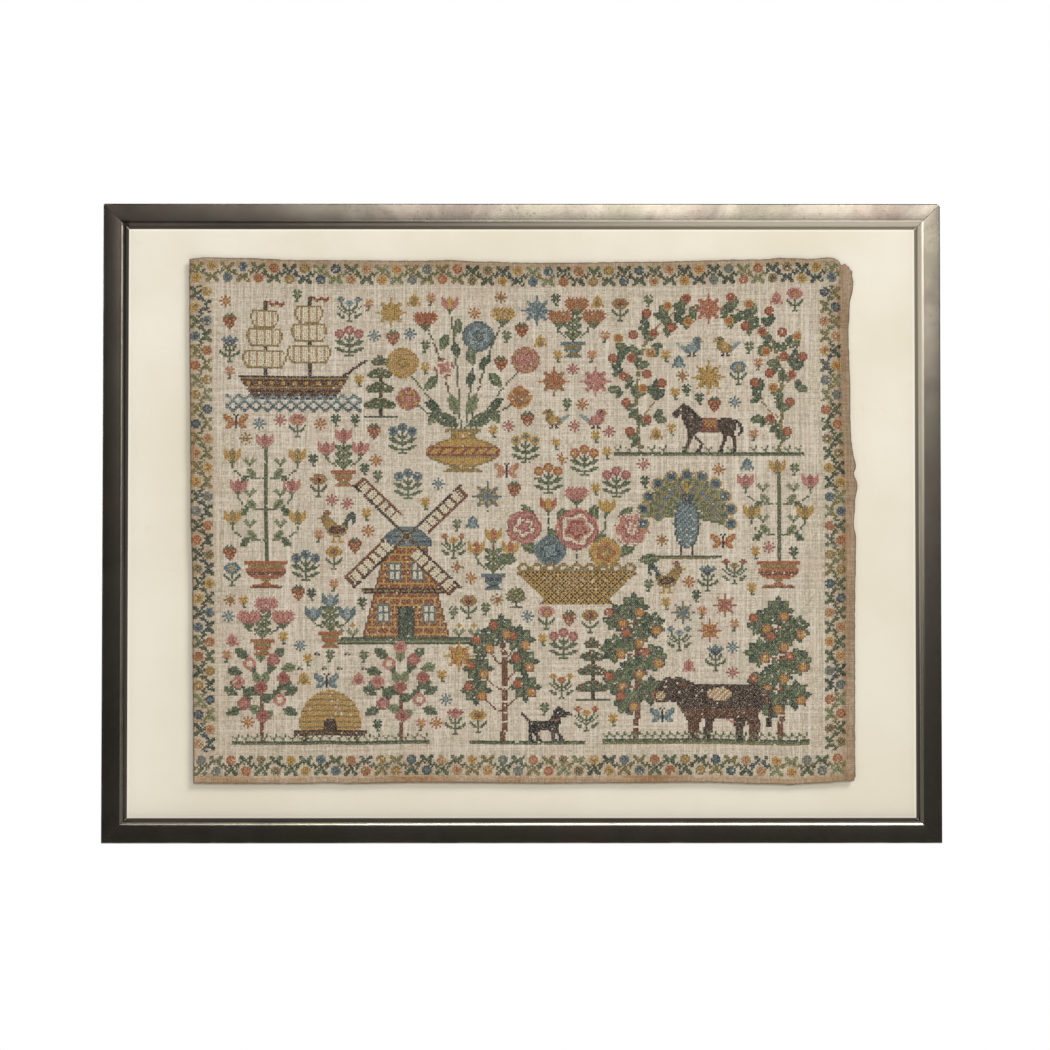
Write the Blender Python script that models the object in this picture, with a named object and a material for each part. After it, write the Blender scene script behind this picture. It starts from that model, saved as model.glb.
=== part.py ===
"""Framed cross stitch sampler: a mitred and rabbeted moulding, an ivory mount board, an uneven
linen cloth floated on the board, and a plain backing board.

Metres, +Z up, +X to the right. The picture faces -Y and the wall is the plane y = 0. The origin is
the point at the middle of the top rail's back, where the frame hangs on the wall.
"""
import math

import bmesh
import bpy
from mathutils import Vector

MM = 0.001

# Overall sizes
FRAME_WIDTH = 660 * MM
FRAME_HEIGHT = 503.5 * MM
CLEARANCE = 0.3 * MM

# Moulding section, across from the outer edge (u) and forward from the wall (v)
MOULDING_WIDTH = 19.5 * MM
BACK_STRIP_WIDTH = 13 * MM
RABBET_DEPTH = 12.5 * MM
OUTER_WALL_DEPTH = 19.0 * MM
OUTER_EDGE_RADIUS = 0.9 * MM
FACE_INNER_U = 13.3 * MM
FACE_EDGE_DEPTH = 19.9 * MM
FACE_CROWN = 0.1 * MM
EASE_RADIUS = 8.5 * MM
EASE_DEGREES = 27
NOSE_RADIUS = 1.2 * MM
NOSE_DEGREES = 84
LIP_INNER_U = 18.0 * MM
LIP_DEPTH = 15.9 * MM
LIP_FALL = 0.1 * MM
WORN_CORNER = 2.2 * MM

# Boards in the rabbet
BOARD_SIDE_GAP = 0.5 * MM
MOUNT_THICKNESS = 2.4 * MM
BACKING_THICKNESS = 3.0 * MM

# Cloth, as a rectangle that its edges wander from
CLOTH_LEFT = -260 * MM
CLOTH_RIGHT = 262 * MM
CLOTH_TOP_MARGIN = 44.0 * MM
CLOTH_HEIGHT = 412.5 * MM
CLOTH_THICKNESS = 1.1 * MM
HEM_EXTRA = 0.4 * MM
HEM_STEP = 0.8 * MM
HEM_WIDTHS = {"left": 2.4 * MM, "right": 8.5 * MM, "top": 5.5 * MM, "bottom": 4.4 * MM}
CLOTH_COLUMNS = 30
CLOTH_ROWS = 42
LEAST_SPACING = 2.2 * MM

# How far each edge wanders outside its straight line, which carries the cloth near it along.
# Columns: millimetres along the edge (from the left, or down from the top), millimetres outwards
WANDER_REACH = 150 * MM
WANDER = {
    "top": (
        (0, 0.8), (13, 2.0), (39, 1.6), (86, 0.0), (181, -0.5), (200, 0.1), (228, -1.1), (267, -2.0),
        (291, -2.0), (354, -1.3), (448, 0.7), (468, 1.9), (491, 1.2), (505, 2.3), (522, 0.0),
    ),
    "right": ((0, -3.2), (103, -2.6), (190, 0.8), (412.5, 0.2)),
    "bottom": (
        (0, 0.2), (87, 0.4), (105, -0.3), (125, 0.4), (181, -0.6), (275, 0.2), (405, -0.6),
        (449, 0.6), (473, 1.2), (487, 0.2), (522, -1.9),
    ),
    "left": ((0, 2.5), (191, 1.0), (257, -0.7), (412.5, -1.9)),
}

# Nubs and dents of the hem alone, added to the wander. Columns as above.
RIPPLE_REACH = 9 * MM
RIPPLES = {
    "top": ((0, 0.0), (509, 0.0), (513, -0.8), (516, -4.4), (519, -3.0), (522, -5.0)),
    "right": (
        (0, -0.4), (5, 0.2), (9, 2.2), (20, 3.3), (35, 0.1), (62, -1.1), (103, 0.0), (142, -0.9),
        (153, 0.1), (163, 1.7), (169, -0.4), (177, 2.3), (191, 0.2), (209, -1.0), (220, 0.8),
        (235, 0.5), (280, 0.0), (409, 0.1), (412.5, -0.8),
    ),
    "bottom": ((0, 0.0), (522, 0.0)),
    "left": ((0, 0.0), (412.5, 0.0)),
}

# How far the cloth stands off the board along each edge.
# Columns: edge, lift in mm, reach of the lift in mm, waves along the edge, wave depth in mm
EDGE_LIFTS = (
    ("left", 2.3, 30, 5.0, 0.35),
    ("bottom", 2.2, 28, 6.5, 0.45),
    ("right", 0.9, 24, 7.0, 0.40),
    ("top", 0.5, 20, 6.0, 0.25),
)
FIELD_COCKLE = 0.25 * MM

# Places that follow from the sizes
FRAME_TOP = BACK_STRIP_WIDTH / 2
FRAME_BOTTOM = FRAME_TOP - FRAME_HEIGHT
FRAME_MIDDLE = (FRAME_TOP + FRAME_BOTTOM) / 2
BOARD_WIDTH = FRAME_WIDTH - 2 * (BACK_STRIP_WIDTH + BOARD_SIDE_GAP)
BOARD_HEIGHT = FRAME_HEIGHT - 2 * (BACK_STRIP_WIDTH + BOARD_SIDE_GAP)
MOUNT_FRONT = RABBET_DEPTH - CLEARANCE
BACKING_FRONT = MOUNT_FRONT - MOUNT_THICKNESS - CLEARANCE
CLOTH_WIDTH = CLOTH_RIGHT - CLOTH_LEFT
CLOTH_TOP = FRAME_TOP - CLOTH_TOP_MARGIN


def clear_scene():
    for thing in list(bpy.data.objects):
        bpy.data.objects.remove(thing, do_unlink=True)


def make_material(name, colour, roughness, metallic=0.0):
    material = bpy.data.materials.new(name)
    material.use_nodes = True
    shader = material.node_tree.nodes["Principled BSDF"]
    shader.inputs["Base Color"].default_value = (*colour, 1.0)
    shader.inputs["Roughness"].default_value = roughness
    shader.inputs["Metallic"].default_value = metallic
    return material


def make_object(name, points, faces, material, sharp_degrees=35):
    mesh = bpy.data.meshes.new(name)
    mesh.from_pydata(points, [], faces)
    mesh.materials.append(material)
    mesh.shade_smooth()
    mesh.set_sharp_from_angle(angle=math.radians(sharp_degrees))
    thing = bpy.data.objects.new(name, mesh)
    bpy.context.scene.collection.objects.link(thing)
    return thing


# Moulding

def arc(centre, radius, start_degrees, end_degrees, steps):
    """Points of an arc in the section's (u, v) plane."""
    points = []
    for step in range(steps + 1):
        angle = math.radians(start_degrees + (end_degrees - start_degrees) * step / steps)
        points.append((centre[0] + radius * math.cos(angle), centre[1] + radius * math.sin(angle)))
    return points


def moulding_section():
    """The closed section, starting at the outer edge on the wall and going forward."""
    edge = arc((OUTER_EDGE_RADIUS, OUTER_WALL_DEPTH), OUTER_EDGE_RADIUS, 180, 100, 4)
    face = []
    face_steps = 6
    middle = (OUTER_EDGE_RADIUS + FACE_INNER_U) / 2
    half = (FACE_INNER_U - OUTER_EDGE_RADIUS) / 2
    for step in range(face_steps + 1):
        u = OUTER_EDGE_RADIUS + 2 * half * step / face_steps
        crown = FACE_CROWN * (1 - ((u - middle) / half) ** 2)
        face.append((u, FACE_EDGE_DEPTH + crown))
    ease_centre = (FACE_INNER_U, FACE_EDGE_DEPTH - EASE_RADIUS)
    ease = arc(ease_centre, EASE_RADIUS, 90, 90 - EASE_DEGREES, 6)[1:]
    tilt = math.radians(EASE_DEGREES)
    nose_centre = (ease[-1][0] - NOSE_RADIUS * math.sin(tilt), ease[-1][1] - NOSE_RADIUS * math.cos(tilt))
    nose = arc(nose_centre, NOSE_RADIUS, 90 - EASE_DEGREES, 90 - NOSE_DEGREES, 4)[1:]
    lip = [(LIP_INNER_U, LIP_DEPTH), (MOULDING_WIDTH, LIP_DEPTH - LIP_FALL)]
    rabbet = [
        (MOULDING_WIDTH, RABBET_DEPTH),
        (BACK_STRIP_WIDTH, RABBET_DEPTH),
        (BACK_STRIP_WIDTH, 0.0),
    ]
    return [(0.0, 0.0)] + edge + face + ease + nose + lip + rabbet


def make_rail(name, side, material):
    """One mitred rail. Its two end faces stand half a clearance back from the 45 degree joint."""
    back_off = CLEARANCE / 2 * math.sqrt(2)
    section = moulding_section()
    start = []
    end = []
    for u, v in section:
        across = FRAME_WIDTH / 2 - u
        top = FRAME_TOP - u
        bottom = FRAME_BOTTOM + u
        if side == "top":
            start.append((-across + back_off, -v, top))
            end.append((across - back_off, -v, top))
        elif side == "bottom":
            start.append((across - back_off, -v, bottom))
            end.append((-across + back_off, -v, bottom))
        elif side == "left":
            start.append((-across, -v, bottom + back_off))
            end.append((-across, -v, top - back_off))
        else:
            start.append((across, -v, top - back_off))
            end.append((across, -v, bottom + back_off))
    count = len(section)
    faces = [tuple(reversed(range(count))), tuple(range(count, 2 * count))]
    for index in range(count):
        after = (index + 1) % count
        faces.append((index, after, after + count, index + count))
    rail = make_object(name, start + end, faces, material)
    if side in ("top", "right"):
        wear_corner(rail)
    return rail


def wear_corner(rail):
    """Cuts the worn top right corner off a rail with a 45 degree plane and closes the cut."""
    model = bmesh.new()
    model.from_mesh(rail.data)
    cut = bmesh.ops.bisect_plane(
        model,
        geom=model.verts[:] + model.edges[:] + model.faces[:],
        dist=1e-6,
        plane_co=Vector((FRAME_WIDTH / 2 - WORN_CORNER, 0, FRAME_TOP)),
        plane_no=Vector((1, 0, 1)).normalized(),
        clear_outer=True,
    )
    rim = [item for item in cut["geom_cut"] if isinstance(item, bmesh.types.BMEdge)]
    bmesh.ops.contextual_create(model, geom=rim)
    model.to_mesh(rail.data)
    model.free()


# Boards

def make_board(name, front, thickness, material):
    """A plain board in the rabbet, given by how far its front stands from the wall."""
    points = []
    for depth in (front, front - thickness):
        for x, z in ((-1, -1), (1, -1), (1, 1), (-1, 1)):
            points.append((x * BOARD_WIDTH / 2, -depth, FRAME_MIDDLE + z * BOARD_HEIGHT / 2))
    faces = [(0, 1, 2, 3), (7, 6, 5, 4), (4, 5, 1, 0), (5, 6, 2, 1), (6, 7, 3, 2), (7, 4, 0, 3)]
    return make_object(name, points, faces, material)


# Cloth

def smooth_step(value):
    value = min(max(value, 0.0), 1.0)
    return value * value * (3 - 2 * value)


def read_table(table, along):
    """Reads an edge's table at a distance along it, with eased steps between its rows."""
    along = along / MM
    for (before, low), (after, high) in zip(table, table[1:]):
        if along <= after:
            share = smooth_step((along - before) / (after - before))
            return (low + (high - low) * share) * MM
    return table[-1][1] * MM


def edge_pull(edge, along, inward):
    """How far an edge's wander and ripples carry a point outwards, at a distance inside the edge."""
    wander = read_table(WANDER[edge], along) * (1 - smooth_step(inward / WANDER_REACH))
    ripple = read_table(RIPPLES[edge], along) * (1 - smooth_step(inward / RIPPLE_REACH))
    return wander + ripple


def grid_lines(length, count, first_hem, last_hem, details):
    """Distances of the grid's lines: both hems' steps, the small shapes' own, and even ones."""
    lines = [0.0, length, first_hem - HEM_STEP, first_hem]
    lines += [length - last_hem, length - last_hem + HEM_STEP]
    lines += [detail * MM for detail in details]
    for index in range(1, count):
        line = length * index / count
        if min(abs(line - other) for other in lines) > LEAST_SPACING:
            lines.append(line)
    return sorted(lines)


def hem_share(from_left, from_top):
    """How much of the hem's extra thickness a point has: 1 on the hem, 0 on the field."""
    distances = {
        "left": from_left,
        "right": CLOTH_WIDTH - from_left,
        "top": from_top,
        "bottom": CLOTH_HEIGHT - from_top,
    }
    share = 0.0
    for edge, width in HEM_WIDTHS.items():
        share = max(share, 1 - smooth_step((distances[edge] - width + HEM_STEP) / HEM_STEP))
    return share


def cloth_lift(from_left, from_top):
    """How far the cloth's back stands off the board."""
    across = from_left / CLOTH_WIDTH
    down = from_top / CLOTH_HEIGHT
    places = {
        "left": (from_left, down),
        "right": (CLOTH_WIDTH - from_left, down),
        "top": (from_top, across),
        "bottom": (CLOTH_HEIGHT - from_top, across),
    }
    lift = 0.0
    for edge, height, reach, waves, depth in EDGE_LIFTS:
        distance, along = places[edge]
        fade = (1 - smooth_step(distance / (reach * MM))) ** 1.5
        wave = 0.5 + 0.5 * math.sin(2 * math.pi * waves * along + 1.3 * waves)
        lift = max(lift, fade * (height - depth * wave) * MM)
    cockle = math.sin(7.1 * across + 3.7 * down) * math.sin(5.3 * down - 2.2 * across + 0.8)
    return CLEARANCE + lift + FIELD_COCKLE * (0.5 + 0.5 * cockle)


def cloth_place(from_left, from_top):
    """The (x, z) of a grid point, carried along with the four uneven edges."""
    x = CLOTH_LEFT + from_left
    x -= edge_pull("left", from_top, from_left)
    x += edge_pull("right", from_top, CLOTH_WIDTH - from_left)
    z = CLOTH_TOP - from_top
    z += edge_pull("top", from_left, from_top)
    z -= edge_pull("bottom", from_left, CLOTH_HEIGHT - from_top)
    return x, z


def make_cloth(name, material):
    columns = grid_lines(
        CLOTH_WIDTH,
        CLOTH_COLUMNS,
        HEM_WIDTHS["left"],
        HEM_WIDTHS["right"],
        (13, 468, 505, 510, 516, 519),
    )
    rows = grid_lines(
        CLOTH_HEIGHT, CLOTH_ROWS, HEM_WIDTHS["top"], HEM_WIDTHS["bottom"], (9, 20, 163, 169, 177)
    )
    front = []
    back = []
    for from_top in rows:
        for from_left in columns:
            x, z = cloth_place(from_left, from_top)
            foot = MOUNT_FRONT + cloth_lift(from_left, from_top)
            head = foot + CLOTH_THICKNESS + HEM_EXTRA * hem_share(from_left, from_top)
            front.append((x, -head, z))
            back.append((x, -foot, z))
    wide = len(columns)
    high = len(rows)
    size = wide * high
    faces = []
    for row in range(high - 1):
        for column in range(wide - 1):
            a = row * wide + column
            b = a + 1
            c = a + wide
            d = c + 1
            faces.append((a, c, d, b))
            faces.append((a + size, b + size, d + size, c + size))
    rim = [column for column in range(wide)]
    rim += [row * wide + wide - 1 for row in range(1, high)]
    rim += [(high - 1) * wide + column for column in range(wide - 2, -1, -1)]
    rim += [row * wide for row in range(high - 2, 0, -1)]
    for here, there in zip(rim, rim[1:] + rim[:1]):
        faces.append((here, there, there + size, here + size))
    return make_object(name, front + back, faces, material)


def main():
    clear_scene()
    leaf = make_material("frame_leaf", (0.10, 0.085, 0.07), 0.38, 0.8)
    card = make_material("mount_card", (0.81, 0.76, 0.65), 0.85)
    linen = make_material("sampler_linen", (0.60, 0.53, 0.43), 0.9)
    hardboard = make_material("backing_hardboard", (0.30, 0.20, 0.12), 0.7)
    for side in ("top", "bottom", "left", "right"):
        make_rail(f"frame_rail_{side}", side, leaf)
    make_board("mount_board", MOUNT_FRONT, MOUNT_THICKNESS, card)
    make_board("backing_board", BACKING_FRONT, BACKING_THICKNESS, hardboard)
    make_cloth("sampler_cloth", linen)


main()
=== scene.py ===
"""Look of the framed cross stitch sampler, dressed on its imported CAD.

Metres, +Z up, +X to the right. The picture faces -Y and the wall is the plane y = 0.
"""

import math
import random

import bpy
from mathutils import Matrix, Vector
from mathutils import noise

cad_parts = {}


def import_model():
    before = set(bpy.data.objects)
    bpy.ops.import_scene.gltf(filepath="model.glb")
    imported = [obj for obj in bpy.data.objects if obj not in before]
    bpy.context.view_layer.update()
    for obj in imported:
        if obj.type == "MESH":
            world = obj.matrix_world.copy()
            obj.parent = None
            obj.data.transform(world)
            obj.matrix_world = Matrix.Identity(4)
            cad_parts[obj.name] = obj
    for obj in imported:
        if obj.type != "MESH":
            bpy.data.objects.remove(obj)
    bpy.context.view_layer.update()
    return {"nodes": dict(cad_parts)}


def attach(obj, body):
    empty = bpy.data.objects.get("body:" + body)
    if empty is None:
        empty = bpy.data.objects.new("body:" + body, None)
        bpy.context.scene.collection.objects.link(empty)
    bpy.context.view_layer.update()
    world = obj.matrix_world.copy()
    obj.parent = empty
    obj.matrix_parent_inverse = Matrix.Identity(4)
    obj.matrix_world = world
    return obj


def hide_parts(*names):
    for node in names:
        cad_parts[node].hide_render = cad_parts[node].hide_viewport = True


MM = 0.001

# Sizes shared with the CAD source
FRAME_WIDTH = 660 * MM
FRAME_HEIGHT = 503.5 * MM
FRAME_TOP = 6.5 * MM
FRAME_BOTTOM = FRAME_TOP - FRAME_HEIGHT
FRAME_MIDDLE = (FRAME_TOP + FRAME_BOTTOM) / 2
MOULDING_WIDTH = 19.5 * MM
CLEARANCE = 0.3 * MM
MOUNT_FRONT = 12.2 * MM
CLOTH_LEFT = -260 * MM
CLOTH_RIGHT = 262 * MM
CLOTH_WIDTH = CLOTH_RIGHT - CLOTH_LEFT
CLOTH_HEIGHT = 412.5 * MM
CLOTH_TOP = FRAME_TOP - 44 * MM
CLOTH_THICKNESS = 1.1 * MM
HEM_EXTRA = 0.4 * MM
HEM_STEP = 0.8 * MM
HEM_WIDTHS = {"left": 2.4 * MM, "right": 8.5 * MM, "top": 5.5 * MM, "bottom": 4.4 * MM}

# How far each edge wanders outside its straight line, which carries the cloth near it along.
# Columns: millimetres along the edge (from the left, or down from the top), millimetres outwards
WANDER_REACH = 150 * MM
WANDER = {
    "top": (
        (0, 0.8), (13, 2.0), (39, 1.6), (86, 0.0), (181, -0.5), (200, 0.1), (228, -1.1), (267, -2.0),
        (291, -2.0), (354, -1.3), (448, 0.7), (468, 1.9), (491, 1.2), (505, 2.3), (522, 0.0),
    ),
    "right": ((0, -3.2), (103, -2.6), (190, 0.8), (412.5, 0.2)),
    "bottom": (
        (0, 0.2), (87, 0.4), (105, -0.3), (125, 0.4), (181, -0.6), (275, 0.2), (405, -0.6),
        (449, 0.6), (473, 1.2), (487, 0.2), (522, -1.9),
    ),
    "left": ((0, 2.5), (191, 1.0), (257, -0.7), (412.5, -1.9)),
}

# Nubs and dents of the hem alone, added to the wander. Columns as above.
RIPPLE_REACH = 9 * MM
RIPPLES = {
    "top": ((0, 0.0), (509, 0.0), (513, -0.8), (516, -4.4), (519, -3.0), (522, -5.0)),
    "right": (
        (0, -0.4), (5, 0.2), (9, 2.2), (20, 3.3), (35, 0.1), (62, -1.1), (103, 0.0), (142, -0.9),
        (153, 0.1), (163, 1.7), (169, -0.4), (177, 2.3), (191, 0.2), (209, -1.0), (220, 0.8),
        (235, 0.5), (280, 0.0), (409, 0.1), (412.5, -0.8),
    ),
    "bottom": ((0, 0.0), (522, 0.0)),
    "left": ((0, 0.0), (412.5, 0.0)),
}

# How far the cloth stands off the board along each edge.
# Columns: edge, lift in mm, reach of the lift in mm, waves along the edge, wave depth in mm
EDGE_LIFTS = (
    ("left", 2.3, 30, 5.0, 0.35),
    ("bottom", 2.2, 28, 6.5, 0.45),
    ("right", 0.9, 24, 7.0, 0.40),
    ("top", 0.5, 20, 6.0, 0.25),
)
FIELD_COCKLE = 0.25 * MM

# Fineness of the linen's mesh: even steps in the field and closer ones on the hems
FIELD_STEP = 3.2 * MM
EDGE_LINES = (0.35, 0.8, 1.3, 1.9, 2.6, 3.4, 4.3, 5.3, 6.4, 7.6, 8.9, 10.4, 12.2, 14.4)
EDGE_FUZZ = 0.22 * MM
FRAY_COUNT = 90
FRAY_RADIUS = 0.11 * MM

# Crosses of the embroidery
STITCH_WIDTH = 1.495 * MM
STITCH_HEIGHT = 1.43 * MM
STITCH_LEFT = 0.6 * MM
STITCH_TOP = 3.2 * MM
THREAD_RADIUS = 0.42 * MM
THREAD_HEIGHT = 0.22 * MM
RIDGE_SHARE = 0.7
LOWER_ARM_RISE = 0.10 * MM
UPPER_ARM_RISE = 0.26 * MM
ARM_END_DIP = 0.05 * MM
ARM_REACH = 0.49
STITCH_JITTER = 0.10
LOST_STITCHES = 0.012

# Glue in the mitres. The outline's columns: millimetres inwards and forward, inside the section
GLUE_THICKNESS = 0.24 * MM
GLUE_OUTLINE = (
    (0.5, 0.5), (0.5, 18.9), (13.4, 19.5), (16.6, 18.6), (17.4, 17.2), (17.6, 13.0), (12.6, 13.0),
    (12.6, 0.5),
)

# Colours as they show, from 0 to 255
LINEN = (206, 195, 176)
LINEN_GAP = (162, 149, 130)
LINEN_SLUB = (214, 206, 192)
LINEN_SHADE = (146, 134, 116)
LINEN_PINK = (190, 168, 152)
LINEN_GREEN = (174, 170, 149)
LINEN_ROSY = (238, 208, 176)
LINEN_HEM = (226, 209, 189)
LINEN_EDGE = (92, 80, 70)
LINEN_STAIN = (204, 188, 168)
BOARD_LIGHT = (234, 228, 213)
BOARD_DARK = (226, 218, 199)
# Painted shade and painted light on the mount board: darker towards the bottom, lighter towards the left
BOARD_PAINTED_SHADE = (210, 204, 185)
BOARD_PAINTED_LIGHT = (246, 243, 232)
LEAF_DARK = (72, 66, 60)
LEAF_LIGHT = (90, 85, 77)
LEAF_OLIVE = (78, 75, 64)
LEAF_ROSY = (86, 75, 68)
EDGE_RUBBED = (176, 168, 152)
# Painted highlight on the moulding's eased inner edge, towards the upper right corner
EDGE_PAINTED_HIGHLIGHT = (196, 186, 168)
# Painted shade and painted light on the lip: the first along the left and lower rails, the second towards the
# upper right corner
LIP_PAINTED_SHADE = (42, 37, 31)
LIP_PAINTED_LIGHT = (104, 97, 78)
# Dark worn specks on the leaf, dark glue, and painted shade on the left rail's inner edge
LEAF_WORN_AND_SHADE = (30, 27, 23)
GLUE_DARK = (58, 52, 45)
WOOD_LIGHT = (172, 140, 104)
WOOD_DARK = (138, 108, 76)
HARDBOARD_LIGHT = (134, 104, 74)
HARDBOARD_DARK = (120, 92, 65)
FLOOR = (226, 224, 220)
BOARD_FOXED = (214, 196, 160)
BOARD_FIBRE = (206, 198, 178)
BOARD_EDGE = (250, 248, 240)
HARDBOARD_FIBRE = (74, 54, 38)
THREAD_FADING = 0.34
THREAD_DEPTH = 0.68

# Zones of the moulding's look: where each starts and where it is full, inwards from the outer edge
RIM_ZONE = (1.3 * MM, 0.3 * MM)
# Painted highlight on the eased inner edge
PAINTED_HIGHLIGHT_ZONE = (12.8 * MM, 14.0 * MM)
# Painted shade on the left rail's inner edge
PAINTED_SHADE_ZONE = (13.0 * MM, 13.6 * MM)
RUBBED_START = (14.2 * MM, 14.9 * MM)
RUBBED_END = (17.4 * MM, 16.7 * MM)
LIP_ZONE = (17.7 * MM, 18.0 * MM)
RABBET_ZONE = (12.4 * MM, 12.8 * MM)

# The same from the mitre, and along y for the bare wood in the rabbet and at the back
JOINT_ZONE = (0.9 * MM, 0.3 * MM)
RABBET_DEPTHS = (-13.4 * MM, -12.9 * MM)
BACK_DEPTHS = (-1.2 * MM, -0.6 * MM)

# Browned bands along the cloth's edges. Columns: edge, width in mm, darkness
BROWNED_EDGES = (("top", 6.2, 0.9), ("right", 9.0, 1.0), ("bottom", 4.8, 0.7), ("left", 3.0, 0.8))

# Camera, fitted to the frame's corners in the photograph
CAMERA_PLACE = (-0.0119, -2.5178, -0.3240)
CAMERA_AIM = (0.0024, -0.0190, -0.2471)
CAMERA_LENS = 108.93
CAMERA_SENSOR = 36.0

# Lights. Columns: name, place from the frame's middle, width and height, watts, colour
LIGHTS = (
    ("softbox", (0.52, -4.9, 1.33), (1.7, 1.3), 93, (1.0, 0.985, 0.955)),
    ("fill", (-3.6, -3.2, 0.8), (2.0, 2.0), 14, (1, 1, 1)),
    ("raking", (4.7, -4.0, 5.9), (3.0, 3.0), 565, (1, 1, 1)),
    ("back", (-1.6, 4.6, 1.2), (2.4, 2.4), 150, (1, 1, 1)),
)
EVEN_LIGHT = 0.07
FLOOR_HALF = 3.0
FLOOR_DROP = 0.75
FLOOR_GLOW = 0.25

# Seeds of what is uneven
CHART_SEED = 11
STITCH_SEED = 23
FRAY_SEED = 5

# Chart of the embroidery. Columns count from the left and rows from the top, one for each cross.
CHART_COLUMNS = 344
CHART_ROWS = 282

# Threads by code: name and colour as it shows, from 0 to 255
THREADS = {
    "g": ("green", (84, 98, 70)),
    "G": ("dark_green", (56, 74, 58)),
    "l": ("pale_green", (126, 132, 96)),
    "o": ("olive", (126, 113, 66)),
    "v": ("stem", (84, 82, 54)),
    "y": ("yellow", (184, 146, 74)),
    "O": ("ochre", (142, 119, 70)),
    "t": ("tan", (178, 142, 102)),
    "w": ("cream", (218, 208, 182)),
    "r": ("rust", (166, 98, 62)),
    "R": ("red", (140, 72, 54)),
    "p": ("pink", (186, 126, 114)),
    "P": ("rose", (158, 97, 90)),
    "b": ("blue", (94, 113, 118)),
    "B": ("dark_blue", (60, 76, 84)),
    "c": ("pale_blue", (134, 152, 152)),
    "n": ("brown", (62, 44, 36)),
    "N": ("chestnut", (112, 66, 42)),
    "k": ("black", (28, 24, 26)),
}

# Border: one repeat of the vine, with flower places F (first) and S (second) and their eyes f and s
BORDER_REPEAT = """
gg...gg...SSS...
ggg.ggg..SSsSS..
.ggggg...SsksS..
g.gvg.g..SSsSS..
vv.gv.vv..SSS.g.
g.gg.vvg.....gvv
..FFF.gvv.g.vv.g
.FFfFF..gvvgvg..
.FfkfF...ggggg..
.FFfFF..ggg.ggg.
..FFF...gg...gg.
"""
BORDER_DEPTH = 11
BORDER_STEP = 16
BORDER_GAPS = 0.03
RIGHT_SHIFT = 4
BOTTOM_SHIFT = 7
BORDER_PAIRS = ("yO", "bB", "rO", "Oy", "Bb", "tr", "yr", "bO", "rt", "OB")
BORDER_GREENS = ("gv", "Gv", "lo", "GB", "og", "gG")

# Small motifs, listed cross by cross. Dots are bare linen.
BIRD = """
..........aaa.
.........aakaa
.........aaaayy
cc......bbaaa.
.ccc..abbbaaa.
..cccaabbbbaa.
...ccaabbbbaa.
....aaabbbaa..
.....aaaaaa...
.......n.n....
......nn.nn...
"""
HORSE = """
.......nn...............................
......nnnnk.............................
.....nnnnnkk............................
....nnwnnnnkk...........................
...nnnnnnnnnkk..........................
..nnnnnnnnnnnkk.........................
..nnnn.nnnnnnnkk........................
...nn..nnnnnnnnkk.......................
.......nnnnnnnnnkkRRRRRRRR..nnnnnn......
........nnnnnnnnnnRyRyRyRRnnnnnnnnnkk...
........nnnnnnnnnnRRyRyRyRnnnnnnnnnnkk..
........nnnnnnnnnnRyRyRyRRnnnnnnnnnn.kk.
.........nnnnnnnnnRRyRyRyRnnnnnnnnnn.kk.
.........nnnnnnnnnRRRRRRRRnnnnnnnnnn..kk
..........nnnnnnnNNNNNNNNNnnnnnnnnnn..kk
..........nnnnnnNNNNNNNNNNNnnnnnnnn...kk
..........nnnnn.............nnnnnnn..kk.
..........nnnn...............nnnnnn..k..
..........nnn.n..............nn..nnn....
..........nnn.nn.............nn...nn....
..........nn...nn............nn...nn....
..........nn....nn..........nn....nn....
.........nn......nn.........nn....nn....
.........nn.....nn.........nn.....nn....
........nn......nn.........nn.....nn....
........kk.....kk..........kk.....kk....
.......kkk....kkk.........kkk....kkk....
"""
DOG = """
...................kk.......
..................kkkk......
.................kkkkkkk....
k................kkwkkkkkk..
kk...............kkkkkkkkkk.
.kk.............kkkkkkkk....
..kk............kkkkk.......
...kk..........kRRRRk.......
....kkkkkkkkkkkkkkkkk.......
....kkkkkkkkkkkkkkkkk.......
....kkkkkkkkkkkkkkkk........
....kkkkkkkkkkkkkkkk........
....kkkkkkkkkkkkkkkk........
....kkkkkk.....kkkkk........
....kkkkk.......kkkk........
....kk.kk.......kk.kk.......
....kk..kk......kk..kk......
....kk..kk......kk..kk......
....kkk.kkk.....kkk.kkk.....
"""
COCKEREL = """
....RR..............
...RRRR..........GG.
...OOR..........GGGG
..OkOO.........GBGGG
yyOOOOO........GBBGG
..ROOOOO......GBB.BG
..ROyOyOO.....GB..BG
...OOyOyOO...GGB..B.
...OyOyOyOOOOOGB....
....OyOnnnnnyOOG....
....OOnnNNNNnnOO....
.....OnnNNNNNnO.....
.....OOnnnnnnOO.....
......OyOyOyOO......
........OOOO........
........y..y........
........y..y........
.......yyy.yyy......
"""
BUTTERFLY = """
aa...k.k...aa
abaa..k..aaba
aabba.k.abbaa
.aaba.k.abaa.
..aaaakaaaa..
..bbaakaabb..
.baba.k.abab.
.aaa..k..aaa.
"""
STRAWBERRY = """
...g.g...
..ggggg..
.RRgRgRR.
.RyRRRyR.
.RRRyRRR.
..RRRRR..
..RyRyR..
...RRR...
....R....
"""
TULIP = """
a...b...a
aa.bbb.aa
aaabbbaaa
aaabbbaaa
aaabbbaaa
.aabbbaa.
..aabaa..
...ggg...
....g....
"""
BELLFLOWER = """
...a...
..aaa..
.aabaa.
.aabaa.
.abbba.
aabbbaa
a.aba.a
"""
CARNATION = """
..a.a.a.a.a..
.aababababaa.
aabaaabaaabaa
.aabaabaabaa.
aaabaabaabaaa
.aaababababa.
..aaabbbaaa..
...ggbbbgg...
....ggggg....
.....ggg.....
......g......
"""
SPRIG = """
.g...g.
ggg.ggg
.gg.gg.
..gvg..
...v...
"""
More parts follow.
